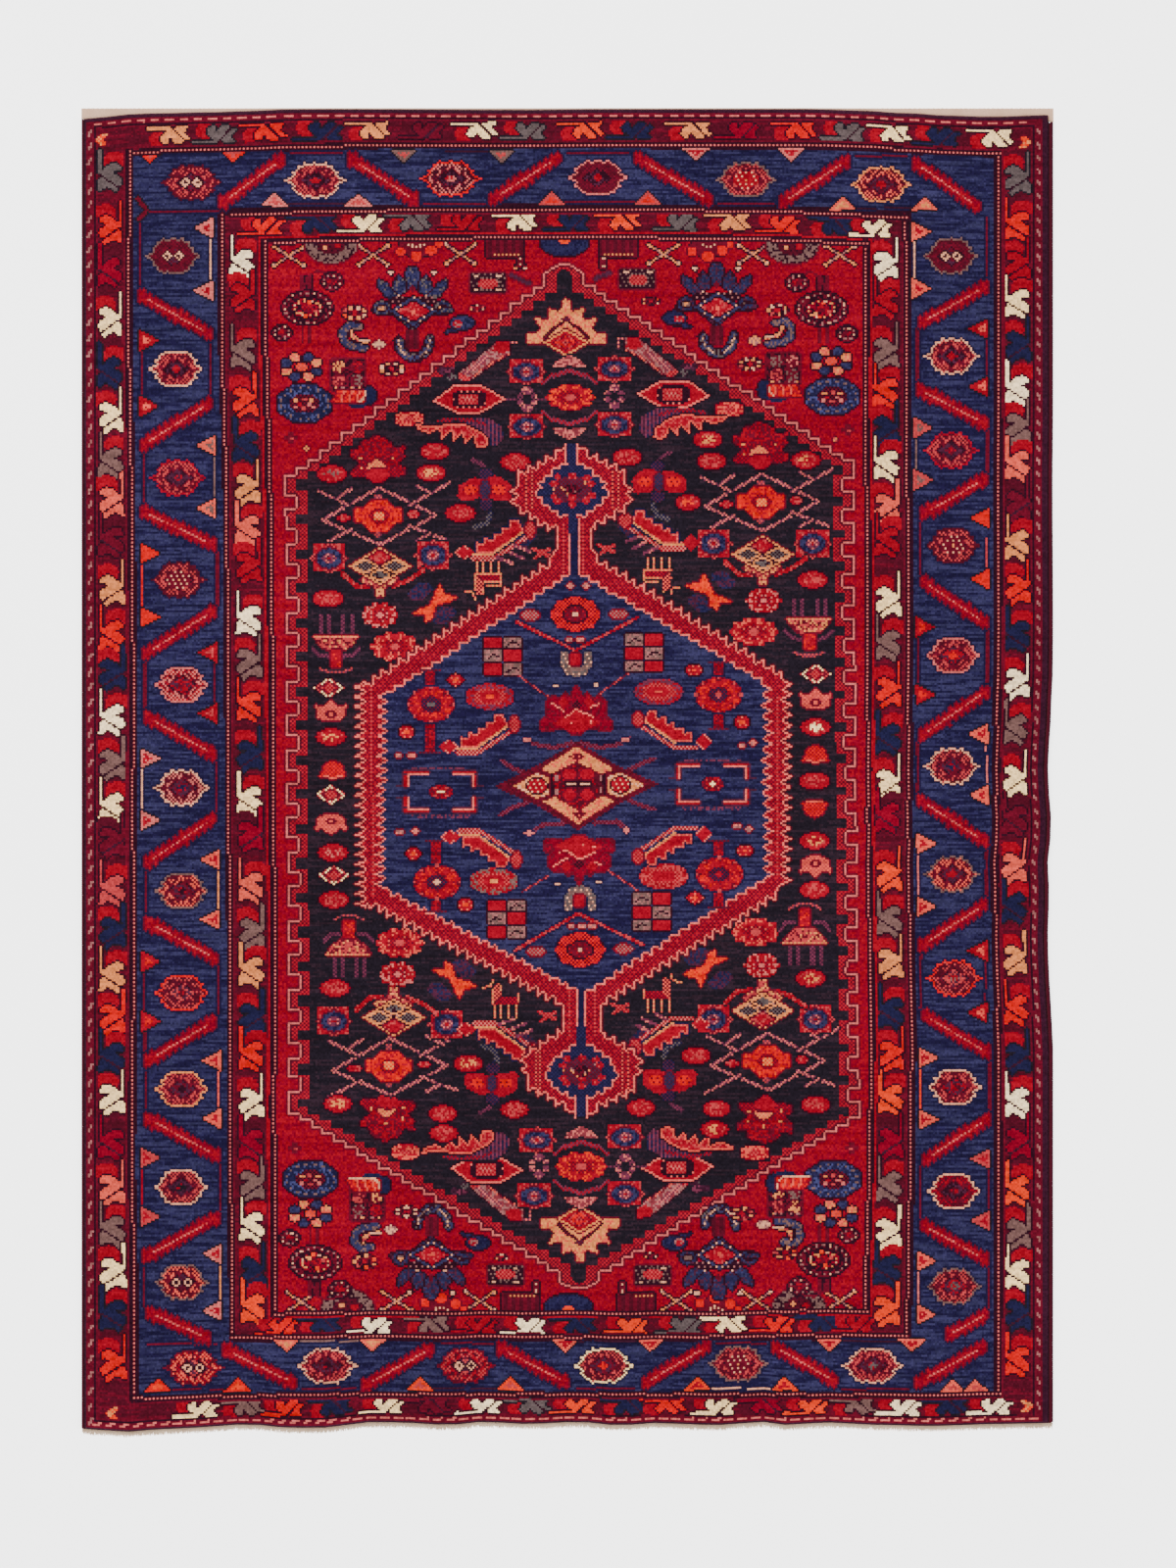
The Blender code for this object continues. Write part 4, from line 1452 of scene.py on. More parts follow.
def lattice(x, y):
    """A mauve lattice of crossing lines round a vermilion hexagon with wings."""
    pen = Pen(x, y)
    lines = (
        ((-58, 4), (0, -29), (58, -1), (1, 29), (-58, 4)),
        ((-62, -26), (-44, -17), (-31, -11)), ((-44, -17), (-28, -28)), ((31, -11), (72, -34)),
        ((38, -31), (54, -23)), ((-64, 32), (-29, 14)), ((31, 10), (68, 24)), ((38, 25), (52, 18)),
    )
    for line in lines:
        pen.line(line, 3.2, "mauve pink:check", "night")
    lay(
        joined(octagon(x, y, 17, 15, 0.5), rect(x - 24, y - 7, x + 23, y + 6)), "vermilion red:fleck",
        "maroon",
    )
    pen.discs(
        (
            (-22, -6), (-22, 4), (21, -6), (21, 4), (-15, -8), (15, -8), (-15, 7), (15, 7), (-8, -13),
            (8, -13), (-8, 12), (8, 12),
        ),
        1.5, 1.3, "orange",
    )
    pen.octagon(0, 0, 10, 7, "crimson maroon:check")
    pen.rect(-5, -4, 5, 4, "tan orange:check")
    for py in (-20, 19):
        pen.disc(-1, py, 3.4, 2.6, "coral mauve:check")
    pen.discs(((-36, 2), (35, -2)), 7, 3.6, "red coral:fleck", "shade")


def butterfly(x, y, side, up):
    """A red butterfly with a blue body and purple tails."""
    pen = Pen(x, y, side, up)
    pen.line([(-12, -30), (-4, -26), (2, -20)], 4, "plum mauve:check")
    pen.line([(0, 14), (6, 24), (2, 34), (-10, 38)], 5, "grey blue_deep:check")
    for py in (-16, 15):
        pen.disc(1, py, 7, 6, "plum blue_deep:check", "night")
    for px, py, half_width, half_height in (
        (-15, 1, 13, 9.5), (14, 0, 13, 11), (-10, -7, 8, 5), (10, -9, 8, 5), (-22, 6, 6, 5), (21, 7, 6, 5),
    ):
        pen.disc(px, py, half_width, half_height, "red")
    for px in (-15, 14):
        pen.disc(px, 0, 7, 5, "vermilion maroon:seeds")
    pen.disc(0, 0, 4.5, 9, "blue plum:check", "maroon")


def mauve_arrow(x, y, up):
    """A mauve arrowhead over a crimson chevron."""
    pen = Pen(x, y, 1, up)
    pen.line([(-27, 17), (-17, 9)], 3, "crimson mauve:check")
    pen.line([(27, 17), (17, 9)], 3, "crimson mauve:check")
    head = [(0, -12), (14, -4), (18, 1), (9, 2), (0, -1), (-9, 2), (-18, 1), (-14, -4)]
    pen.fill(head, "flower pink:mottle", "night")
    pen.line([(-16, 10), (0, 5), (16, 10)], 4.4, "crimson mauve:check")


def bow(x, y):
    """A small red bow of two crossing strokes."""
    pen = Pen(x, y)
    for line in (((-8, -4), (0, 0), (8, -3)), ((-6, 6), (0, 1), (8, 3))):
        pen.line(line, 3.6, "red coral:check")


def goat(x, y, side, up):
    """A small salmon goat. up is -1 where it stands on its head in the design."""
    pen = Pen(x, y, side, -up)
    for px in (-11.3, -4.7, 3.3, 10.3):
        pen.line([(px, -17), (px, -5)], 1.8, "tan salmon:check", "night")
    pen.fill([(-14, -4.5), (14, -4.5), (14, 4.5), (-14, 4.5)], "maroon red:check")
    for line in (
        ((-14, -4), (14, -4)), ((-14, 4), (14, 4)), ((14, -4), (13, 8), (-1, 8)), ((-13, -4), (-12, 14)),
        ((-5, 4), (-6, 18)), ((-24, 13), (-15, 15)), ((-15, 15), (-13, 22)),
    ):
        pen.line(line, 1.8, "tan salmon:check")
    pen.fill([(-13, -4), (-12, 16), (-6, 18), (-4, 4)], "salmon maroon:check")


def star_leaf(x, y, side, up):
    """An orange leaf like a star, with purple leaves against it."""
    pen = Pen(x, y, side, up)
    pen.discs(((-16, -6), (14, 12), (-10, -12), (8, 18)), 10, 6, "plum navy:mottle blue:fleck")
    shape = [
        (-22, 14), (-13, 9), (-4, 6), (1, -3), (3, -9), (7, -16), (12, -6), (26, -4), (16, 2), (6, 4),
        (2, 8), (0, 17), (-7, 22), (-9, 14),
    ]
    pen.fill(shape, "orange vermilion:fleck", "maroon")


def tan_lozenge(x, y, up):
    """A tan lozenge of red and grey cells with a small tan crown and garlands."""
    pen = Pen(x, y, 1, up)
    for garland in (((-38, 8), (-25, 20), (-12, 21)), ((14, 20), (28, 15), (44, 4))):
        pen.line(garland, 4.6, "crimson coral:fleck", "night")
    tassel = [
        (-16, 9), (-20, 14), (-12, 20), (-6, 19), (-3, 32), (3, 32), (6, 19), (12, 20), (20, 13), (16, 9),
    ]
    pen.fill(tassel, "tan coral:mottle maroon:seeds", "maroon")
    lay_lined(lozenge(x, y, 32, 19), "tan", "shade blush:seeds", "maroon")
    pen.lozenge(0, -9, 12, 7, "red coral:fleck", "maroon")
    for side in (1, -1):
        pen.turned(side).lozenge(15, 0, 10, 5.6, "grey shade:check", "tan")
    pen.lozenge(0, 9, 9, 5, "grey shade:mottle", "tan")


def salmon_crown(x, y, up):
    """A salmon bell with spikes."""
    pen = Pen(x, y, 1, up)
    shape = [(-16, -8), (-9, -5), (0, -12), (9, -5), (16, -8), (13, 5), (6, 9), (-6, 9), (-13, 5)]
    pen.fill(shape, "salmon coral:check", "maroon")
    pen.disc(0, 2, 6, 3.5, "maroon")
    pen.disc(0, 2, 2.6, 1.6, "salmon")


def candelabra(x, y, up):
    """Purple stripes over a salmon bowl on a red column."""
    pen = Pen(x, y, 1, up)
    for px in (-14, -6, 8, 17):
        pen.rect(px - 2, -21, px + 2, -2, "plum mauve:check")
    for side in (1, -1):
        pen.turned(side).line([(8, 21), (18, 19), (24, 12)], 4, "mauve plum:check", "night")
    bowl = [(-23, 0), (23, 0), (17, 9), (8, 15), (-8, 15), (-17, 9)]
    pen.fill(bowl, "coral tan:mottle maroon:fleck", "maroon")
    lay(rect(x - 23, y - 0.6, x + 23, y + 1.2), "tan salmon:check")
    pen.rect(-5, 15, 6, 32, "red vermilion:fleck", "maroon")
    pen.line([(-16, 34), (-6, 37), (6, 37), (16, 34)], 2.6, "coral mauve:check")


def dome(x, y, up):
    """A salmon dome on a flat dotted base, with a red column over it and purple stripes under it."""
    pen = Pen(x, y, 1, up)
    pen.line([(-16, -28), (-6, -33), (6, -33), (16, -28)], 2.6, "coral mauve:check")
    pen.rect(-5, -28, 6, -9, "red vermilion:fleck", "maroon")
    for side in (1, -1):
        pen.turned(side).line([(10, -14), (20, -13), (25, -6)], 4, "mauve plum:check", "night")
    pen.fill(
        [(-23, 8), (-19, 0), (-9, -8), (9, -8), (19, 0), (23, 8)], "coral tan:mottle maroon:fleck",
        "maroon",
    )
    pen.rect(-23, 7, 23, 8.8, "tan salmon:check")
    for px in (-14, -6, 8, 16):
        pen.rect(px - 2, 11, px + 2, 30, "plum mauve:check")


def drop(x, y, up):
    """A red drop with a pale foot."""
    pen = Pen(x, y, 1, up)
    pen.fill([(-13, 6), (-9, -5), (0, -10), (9, -5), (13, 6), (0, 9)], "red vermilion:check", "maroon")
    pen.line([(-9, 6), (0, 8), (9, 6)], 2, "salmon")


def small_lozenge(x, y):
    """A small dotted lozenge."""
    pen = Pen(x, y)
    pen.lozenge(0, 0, 16, 10, "coral cream:check", "shade")
    pen.lozenge(0, 0, 12.5, 7.5, "maroon")
    pen.lozenge(0, 0, 8, 5, "red coral:check")


def knot_black_ends():
    """The figures on the black ground above and below the medallion."""
    place_all(crown, (577.6, 350, 1), (591.5, 1243.5, -1))
    place_all(feather, (527, 350, 1, 1), (632, 346, -1, 1), (540, 1244, 1, -1), (643, 1241, -1, -1))
    place_all(eye, (480, 407, 1, 1), (686, 402, -1, 1), (498, 1194, 1, -1), (690, 1192, -1, -1))
    place_all(four_lobes, (538, 408), (627, 405), (550, 1189), (638, 1190))
    place_all(
        flower_square, (537, 380), (627, 377), (538, 436), (627, 434), (548, 1163), (638, 1160),
        (545, 1220), (638, 1218),
    )
    place_all(mauve_arrow, (581, 374, 1), (581, 438, -1), (593, 1160, 1), (593, 1222, -1))
    place_all(
        bloom, (582, 406, 25, 14, "red", "orange", "coral"), (593, 1190, 27, 15, "red", "orange", "coral"),
    )
    place_all(block, (418, 428), (744, 418), (414, 1175), (770, 1176))
    place_all(serrated_leaf, (430, 434, 1, 1), (736, 425, -1, 1), (436, 1176, 1, -1), (743, 1173, -1, -1))
    place_all(maroon_crown, (386, 470, 1), (776, 456, 1), (396, 1139, -1), (781, 1142, -1))
    place_all(lattice, (387, 527), (777, 513), (398, 1088), (783, 1083))
    place_all(butterfly, (495, 500, 1, 1), (672, 492, -1, 1), (502, 1105, 1, -1), (683, 1102, -1, -1))
    place_all(
        berry, (444, 461, "coral"), (440, 483, "tan"), (339, 484, "taupe"), (722, 449, "tan"),
        (726, 471, "coral"), (822, 470, "tan"), (526, 472, "coral"), (640, 467, "coral"),
        (470, 524, "coral"), (702, 513, "orange", 12),
    )
    for x, y, heart in (
        (478, 1085, "tan"), (525, 1132, "coral"), (710, 1077, "coral"), (654, 1130, "coral"),
        (345, 1126, "tan"), (452, 1136, "coral"), (453, 1156, "coral"), (731, 1131, "coral"),
        (729, 1152, "tan"), (832, 1127, "coral"),
    ):
        berry(x, y, heart, 14)


def knot_side_columns():
    """The figures down the two sides of the black ground."""
    for x, y in (
        (336, 570), (442, 567), (728, 555), (829, 555), (341, 1042), (456, 1045), (728, 1040), (832, 1040),
    ):
        flower_square(x, y, 16, 14)
    place_all(tan_lozenge, (388, 578, 1), (778, 566, 1), (402, 1038, -1), (778, 1031, -1))
    place_all(star_leaf, (442, 613, 1, 1), (725, 601, -1, 1), (462, 1003, 1, -1), (722, 991, -1, -1))
    small_bloom = (19, 13, "crimson", "pink", "pink")
    for x, y in ((388, 628), (779, 613), (406, 994), (777, 985)):
        bloom(x, y, *small_bloom)
    large_bloom = (25, 15, "red", "salmon", "coral")
    for x, y in ((403, 660), (769, 645), (408, 962), (771, 951)):
        bloom(x, y, *large_bloom)
    place_all(candelabra, (343, 649, 1), (825, 632, 1))
    place_all(dome, (356, 967, 1), (821, 955, 1))
    place_all(
        berry, (335, 611, "coral"), (829, 592, "coral"), (338, 752, "tan"), (832, 742, "cream"),
        (340, 870, "pink"), (831, 858, "tan"), (341, 918, "coral"), (831, 908, "coral"),
        (342, 1008, "coral"), (827, 998, "tan"), (831, 797, "coral"),
    )
    place_all(small_lozenge, (336, 702), (338, 811), (832, 688), (341, 893))
    place_all(salmon_crown, (338, 727, 1), (832, 715, 1), (832, 883, -1), (338, 840, -1))
    place_all(drop, (340, 786, 1), (832, 770, 1), (831, 825, -1))


def knot_middle_black():
    """The toothed leaves, bows and goats beside the stems."""
    for x, y, side, up in ((476, 568, 1, 1), (703, 558, -1, 1), (478, 1046, 1, -1), (713, 1041, -1, -1)):
        pen = Pen(x, y, side, up)
        pen.fill([(50, -30), (66, -34), (72, -20), (60, -8), (48, -16)], "plum navy:mottle")
        long_leaf(x, y, side, up)
        for px, py in ((32, 1), (44, -4), (50, -11)):
            pen.line([(px, py), (px + 14, py + 6)], 3.4, "mauve pink:fleck")
    place_all(bow, (552, 564), (618, 560), (558, 1036), (632, 1028))
    place_all(goat, (498, 590, 1, -1), (671, 586, -1, -1), (516, 1021, 1, 1), (671, 1015, -1, 1))


# ---------------------------------------------------------------- the blue medallion and its pendants

def medallion_outline():
    """The medallion's outer light line: sawteeth on the slopes and pointed teeth down the sides."""
    left = spikes((560, 570), (370, 694), 22, 10, False) + zigzag((372, 696), (374.5, 927), 23, -12)
    left += spikes((376, 928), (566, 1026), 22, -10, True)
    right = spikes((620, 1026), (792, 920), 20, -10, False) + zigzag((797, 903), (799, 693), 20, 10.5)
    right += spikes((799, 684), (611, 566), 21, 10, True)
    return [(603.5, 560), (603.5, 530), (568, 530), (568, 560)] + left + [
        (574.5, 1024), (574.5, 1060), (613.5, 1060), (613.5, 1024),
    ] + right


def medallion_ground():
    """The outline of the blue inside the medallion's red band."""
    left = stair((573, 587), (392, 706), 19) + zigzag((395, 706), (393, 907), 20, -11)
    left += spikes((399, 915), (578, 1010), 21, -6.5, True)
    right = spikes((608, 1011), (781, 901), 19, -7, False) + zigzag((779, 898), (778, 698), 18, 11)
    right += stair((602, 588), (778, 691), 19)[::-1]
    return [(592, 588), (592, 530), (581, 530), (581, 587)] + left + [(588, 1010), (588, 1070), (599, 1070),
                                                                      (599, 1010)] + right


def pendant_outline(x, y, up):
    """A pendant's outer light line: sawteeth on its slopes and two long teeth at each side."""
    left = [(-10, -41)] + spikes((-17, -39), (-55.5, -20), 5, 9, False)
    left += [(-55.5, -2), (-64, 3), (-55.5, 7), (-64, 13), (-55.5, 18)]
    left += spikes((-54, 27), (-25, 44.5), 4, -9, True) + [(-15.5, 37), (-15.5, 50)]
    right = [(-px, py - 1.5) for px, py in left[::-1]]
    return polygon(placed(left + right, x, y, 1, up))


# The left half of the blue star inside a pendant, round its centre.
PENDANT_STAR = (
    (-5, -25), (-13, -25), (-13, -20), (-22, -20), (-22, -13), (-30, -13), (-31, -7), (-37, -6), (-33, -2),
    (-39, 2), (-38, 8), (-33, 8), (-32, 15), (-25, 16), (-24, 22), (-15, 20), (-14, 27), (-5, 24),
)
PENDANT_PETALS = (
    (-15, -13), (0, -14), (15, -12), (-19, -6), (19, -6), (-19, 7), (20, 6), (-15, 12), (0, 8), (14, 11),
    (0, 15),
)
PENDANT_SEEDS = ((-19, -1), (-11, -2), (-8, 0), (8, -1), (13, -7), (3, 2), (-5, 5))


def knot_pendant(x, y, tall):
    """The blue star inside a pendant and the red flower on it."""
    pen = Pen(x, y)
    for side in (-1, 1):
        for shift in (-47, -41.5):
            column_x = x + shift * side
            lay(rect(column_x - 1, y - tall, column_x + 1, y + tall), "salmon maroon:rows")
    star = [(px * 0.93, py) for px, py in PENDANT_STAR]
    star += [(-px, py) for px, py in star[::-1]]
    pen.fill(star, "blue blue_deep:check", "rose")
    pen.rect(-4.5, -46, 4.5, 46, "blue blue_deep:check")
    pen.disc(0, 0, 20, 14, "maroon plum:check", "blue_deep")
    pen.discs(PENDANT_PETALS, 4, 3.2, "red coral:seeds")
    pen.disc(0, 0, 9, 6, "maroon shade:mottle")
    pen.discs(PENDANT_SEEDS, 1.2, 1.2, "tan blush:mottle")


def knot_medallion_frame():
    """The medallion, its stems and pendants: toothed red bands round blue."""
    upper = pendant_outline(583.5, 499, 1)
    lower = pendant_outline(593.5, 1094, -1)
    outer = joined(polygon(medallion_outline()), upper, lower)
    lay_lined(outer, "rose", "red maroon:check brick:seeds", "wine")
    for left, top, right, bottom in ((574, 536, 576, 590), (595, 536, 597, 590), (580, 1010, 582, 1060),
                                     (606, 1010, 608, 1060), (378, 704, 380, 812), (380, 812, 382, 915),
                                     (793, 712, 795, 895)):
        lay(rect(left, top, right, bottom), "red coral:rows")
    lay_lined(polygon(medallion_ground()), "rose", BLUE_GROUND)
    for left, top, right, bottom in ((583, 588, 590, 530), (590, 1008, 597, 1070), (579, 454, 589, 480),
                                     (588, 1116, 599, 1140)):
        lay(rect(left, top, right, bottom), "blue_deep")
    for x, top, bottom in ((578, 454, 478), (589, 454, 478), (587, 1116, 1141), (599, 1116, 1141)):
        lay(rect(x - 1, top, x + 1, bottom), "rose")
    knot_pendant(584, 500, 20)
    knot_pendant(593.5, 1093, 23)


def rosette_disc(x, y, half_width, half_height, core):
    """A round rosette: red petals with coral rims round a dark checked heart."""
    pen = Pen(x, y)
    pen.disc(0, 0, half_width, half_height, "maroon crimson:mottle", "blue_deep")
    pen.ring(8, (half_width * 0.96, half_height * 0.94), (1.6, 1.6), "coral", 0)
    petal = (half_width * 0.24, half_height * 0.24)
    pen.ring(8, (half_width * 0.7, half_height * 0.7), petal, "red vermilion:fleck")
    pen.disc(0, 0, half_width * 0.42, half_height * 0.42, "maroon blue_deep:check")
    pen.disc(0, 0, 3.4, 3, core)


def ring_flower(x, y, half_width, half_height):
    """A vermilion flower of eight petals round a dark dotted heart."""
    pen = Pen(x, y)
    pen.disc(0, 0, half_width, half_height, "shade", "blue_deep")
    reach = (half_width * 0.74, half_height * 0.74)
    pen.ring(8, reach, (half_width * 0.29, half_height * 0.29), "vermilion red:check", 0)
    pen.ring(8, reach, (half_width * 0.2, half_height * 0.2), "vermilion maroon:check")
    pen.octagon(0, 0, half_width * 0.44, half_height * 0.44, "maroon crimson:seeds", "shade")
    pen.disc(0, 0, 2.4, 2.4, "oat")


def checkers(x, y, red_first):
    """Six cells, red and grey-tan by turns."""
    for number in range(6):
        row, column = divmod(number, 2)
        left = x - 19.5 + 20 * column
        top = y - 19.5 + 13.3 * row
        red = (row + column) % 2 == (0 if red_first else 1)
        dye = "red" if red else "taupe blush:mottle"
        lay(rect(left, top, left + 18.5, top + 11.8), dye, "shade")
        if not red:
            lay(stroke([(left + 3, top + 9), (left + 9, top + 4), (left + 15, top + 7)], 1.8), "shade")


def horseshoe(x, y, up):
    """A grey horseshoe with a red block in its mouth."""
    pen = Pen(x, y, 1, up)
    pen.line(
        [(-12, -9), (-12.5, 1), (-7, 8), (0, 10), (7, 8), (12.5, 1), (12, -9)], 8,
        "grey taupe:mottle oat:seeds", "blue_deep",
    )
    pen.rect(-9, 4, 9, 8, "taupe")
    pen.rect(-5, -9, 5, 3, "red", "maroon")


# Half of a medallion palmette, from its top spike round to the middle of its foot.
PALMETTE_HALF = (
    (0, -29), (5, -17), (9, -14), (12, -20), (17, -13), (27, -15), (33, -8), (32, 4), (29, 8), (37, 8),
    (38, 21), (27, 21), (18, 19), (10, 20), (5, 25),
)


def medallion_palmette(x, y, up):
    """The red palmette above or below the centre."""
    pen = Pen(x, y, 1, up)
    small = [(px * 0.94, py * 0.94) for px, py in mirrored(PALMETTE_HALF)]
    pen.fill(small, "crimson_deep maroon:fleck", "maroon")
    pen.fill([(-24, 13), (-10, 5), (0, -1), (12, 4), (24, 13), (6, 22), (-6, 22)], "crimson red:mottle")
    for px, py in ((-13, -8), (13, -8)):
        pen.lozenge(px, py, 6, 7, "crimson red:mottle")
    pen.lozenge(0, -5, 6, 5, "shade maroon:check")
    for line in (((-26, -8), (-12, 1)), ((24, -7), (14, -3)), ((-17, 8), (-12, 8), (0, -1), (18, 7))):
        pen.line(line, 1.7, "rose")
    pen.discs(((-20, 6), (-5, 13), (4, 14), (15, 12)), 1.3, 1.3, "rose")


def long_leaf(x, y, side, up):
    """A red leaf with an upright toothed back, a pale belly line, a dotted strip, a tail and a bud."""
    pen = Pen(x, y, side, up)
    body = [
        (10, -3), (10, -15), (18, -12), (18, -19), (27, -17), (28, -24), (36, -22), (37, -30), (45, -28),
        (45, -36), (54, -36), (58, -27), (57, -23), (40, -12), (28, -4),
    ]
    pen.fill_lined(body, "salmon coral:check", "red crimson:fleck", "blue_deep")
    pen.line([(3, -2), (26, -2), (40, -12), (58, -25)], 1.9, "tan")
    pen.line([(6, 2), (28, 2), (42, -7), (62, -20)], 4, "crimson pink:check")
    lay_lined(lozenge(x - 2 * side, y - 4 * up, 10, 8), "rose red:check", "red")
    pen.octagon(65, -27, 5, 7.5, "red coral:check", "maroon")


def bracket_cross(x, y):
    """Four angle brackets round a small flower."""
    pen = Pen(x, y)
    for px in (-1, 1):
        for py in (-1, 1):
            angle_x = x + px * 37
            angle_y = y + py * 21.5
            lay(rect(angle_x, angle_y, angle_x - px * 4, angle_y - py * 17), "crimson", "plum")
            lay(rect(angle_x, angle_y, angle_x - px * 25, angle_y - py * 3.5), "crimson", "plum")
            lay(rect(angle_x - px * 2.5, angle_y - py * 2, angle_x - px * 4.5, angle_y - py * 17), "rose")
            lay(rect(angle_x - px * 2.5, angle_y - py * 2, angle_x - px * 25, angle_y - py * 4), "rose")
            lay(rect(angle_x, angle_y - py * 15, angle_x + px * 8, angle_y - py * 17), "plum")
    for py in (-25, 24):
        pen.rect(-30, py, 30, py + 3, "blue mauve:mottle")
    pen.octagon(0, 0, 11.5, 7, "crimson maroon:mottle", "blue_deep")
    pen.discs(((-6, -4), (6, -4), (-6, 4), (6, 4)), 1.6, 1.4, "coral")
    pen.disc(0, 0, 3, 2, "cream")


def ringed_oval(x, y, rim, core):
    """A flat oval of nested rings."""
    pen = Pen(x, y)
    pen.disc(0, 0, 25, 13.5, f"{rim} crimson:mottle", "blue_deep")
    pen.disc(0, 0, 17, 9, "crimson coral:check")
    pen.disc(0, 0, 11, 6, "red")
    pen.disc(0, 0, 4.5, 2, core)


def stemmed_rosette(x, y, stem_top, stem_bottom, core):
    """A rosette on an upright stem with a bar across each end."""
    lay(rect(x - 5, stem_top, x + 5, stem_bottom), "crimson maroon:mottle", "blue_deep")
    lay(rect(x - 11, stem_top - 2, x + 11, stem_top), "maroon plum:check")
    lay(rect(x - 11, stem_bottom, x + 11, stem_bottom + 2), "maroon plum:check")
    rosette_disc(x, y, 24, 18, core)


def seeded_spot(x, y):
    """A small red flower with an orange heart."""
    pen = Pen(x, y)
    pen.disc(0, 0, 8, 6, "red salmon:seeds", "shade")
    pen.disc(0, 0, 2.4, 2, "orange")


def centre_eye(x, y, side):
    """A red eye in a pointed tan ring, with a bar and two dots beside it."""
    pen = Pen(x, y, side)
    pen.fill([(-24, 0), (0, -13), (13, -8), (13, 8), (0, 13)], "tan oat:fleck", "maroon")
    pen.disc(0, 0, 9.5, 7.5, "red oat:seeds", "shade")
    pen.rect(14, -12, 16.5, 11, "shade")
    for py in (-7, 6):
        pen.rect(18, py - 3, 21.5, py + 3, "blush")


def knot_medallion_centre():
    """The long lozenge at the middle of the medallion."""
    for arm in (
        ((536, 755), (548, 760), (566, 763), (584, 758)), ((642, 753), (634, 759), (612, 763), (592, 758)),
        ((541, 850), (553, 842), (575, 840)), ((641, 849), (630, 838), (606, 840)),
        ((512, 776), (523, 784), (540, 790)), ((510, 832), (523, 824), (540, 818)),
        ((668, 774), (655, 779), (640, 786)), ((668, 826), (655, 822), (640, 816)),
    ):
        lay(stroke(arm, 4.4), "maroon mauve:check")
    for x, y in ((538, 755), (638, 755), (540, 850), (639, 847)):
        lay(lozenge(x, y, 5, 3.6), "pink", "blue_deep")
    lay(
        polygon(
            [(505, 803), (545, 783), (588, 757), (630, 781), (672, 800), (632, 820), (590, 847), (548, 822)]
        ),
        "maroon wine:mottle",
    )
    lay(
        polygon([(564, 790), (589, 776), (614, 790), (616, 811), (591, 829), (566, 812)]),
        "wine crimson:fleck", "shade",
    )
    for points in (((552, 785), (588, 762), (626, 785), (614, 789.5), (589, 777), (564, 789.5)),
                   ((555, 818), (590, 841), (627, 817), (614, 812), (591, 828), (566, 813))):
        lay(polygon(points), "tan salmon:fleck", "maroon")
    for x, y in ((589, 772), (591, 831)):
        lay(lozenge(x, y, 9, 5), "maroon salmon:seeds")
    place_all(centre_eye, (548, 802, 1), (633, 801, -1))
    for x, y in ((581, 790), (599, 790), (581, 811), (599, 811)):
        lay(disc(x, y, 7, 5.5), "red", "maroon")
    lay(rect(576, 797, 605, 803), "shade")
    for x in (583.5, 597):
        lay(rect(x - 4.5, 799, x + 4.5, 801.5), "oat")


RED_CHEVRONS = (((528, 635), (587, 664), (651, 630)), ((525, 970), (590, 932), (656, 964)))
DOTTED_LINKS = (
    ((530, 690), (563, 714)), ((640, 688), (610, 709)), ((533, 910), (560, 893)), ((650, 908), (618, 886)),
)
PINK_SPOTS = (
    (582, 598), (598, 598), (581, 653), (592, 653), (583, 945), (594, 945), (604, 945), (407, 771),
    (420, 771), (408, 849), (424, 848), (757, 761), (768, 758), (752, 843), (764, 846),
)


def knot_medallion_figures():
    """The figures on the blue ground."""
    for points in RED_CHEVRONS:
        lay(stroke(points, 3.2), "crimson coral:mottle", "blue_deep")
    place_all(ring_flower, (587, 627, 25, 18), (592, 969, 25, 18))
    for x, y in PINK_SPOTS:
        lay(disc(x, y, 3.4, 2.2), "blush rose:mottle", "maroon")
    for x, y in ((567, 700), (608, 699), (569, 902), (611, 900)):
        lay(disc(x, y, 2.2, 1.6), "oat", "blue_deep")
    for x, y in ((541, 628), (631, 627), (547, 971), (636, 968)):
        lay(octagon(x, y, 9, 4.5), "blush red:check", "maroon")
    place_all(horseshoe, (588, 677, 1), (592, 917, -1))
    place_all(checkers, (514, 670, True), (658, 667, False), (517, 938, True), (665, 931, False))
    for points in DOTTED_LINKS:
        lay(stroke(points, 2), "coral maroon:check")
    place_all(medallion_palmette, (588, 725, 1), (591, 876, -1))
    place_all(
        ringed_oval, (500, 711, "mauve", "orange"), (672, 706, "mauve", "salmon"),
        (504, 899, "taupe", "tan"), (677, 894, "coral", "crimson"),
    )
    place_all(
        stemmed_rosette, (440, 719, 686, 768, "grey"), (733, 709, 677, 744, "coral"),
        (446, 900, 860, 930, "oat"), (734, 892, 860, 925, "red"),
    )
    place_all(
        seeded_spot, (465, 694), (415, 747), (708, 684), (757, 737), (422, 871), (475, 923), (760, 868),
        (709, 916),
    )
    place_all(long_leaf, (460, 766, 1, 1), (716, 761, -1, 1), (462, 850, 1, -1), (716, 847, -1, -1))
    place_all(bracket_cross, (450, 808), (727, 800))
    knot_medallion_centre()


def knot_chart():
    """The whole chart: the grounds, the field with its figures, and the borders round it."""
    knot_grounds()
    border_ground = chart.copy()
    knot_field_frame()
    knot_corner_figures()
    knot_black_ends()
    knot_side_columns()
    knot_middle_black()
    knot_medallion_frame()
    knot_medallion_figures()
    outside_field = ~inside(*FIELD_BOX)
    chart[outside_field] = border_ground[outside_field]
    knot_borders()


knot_chart()


# ---------------------------------------------------------------- meshes

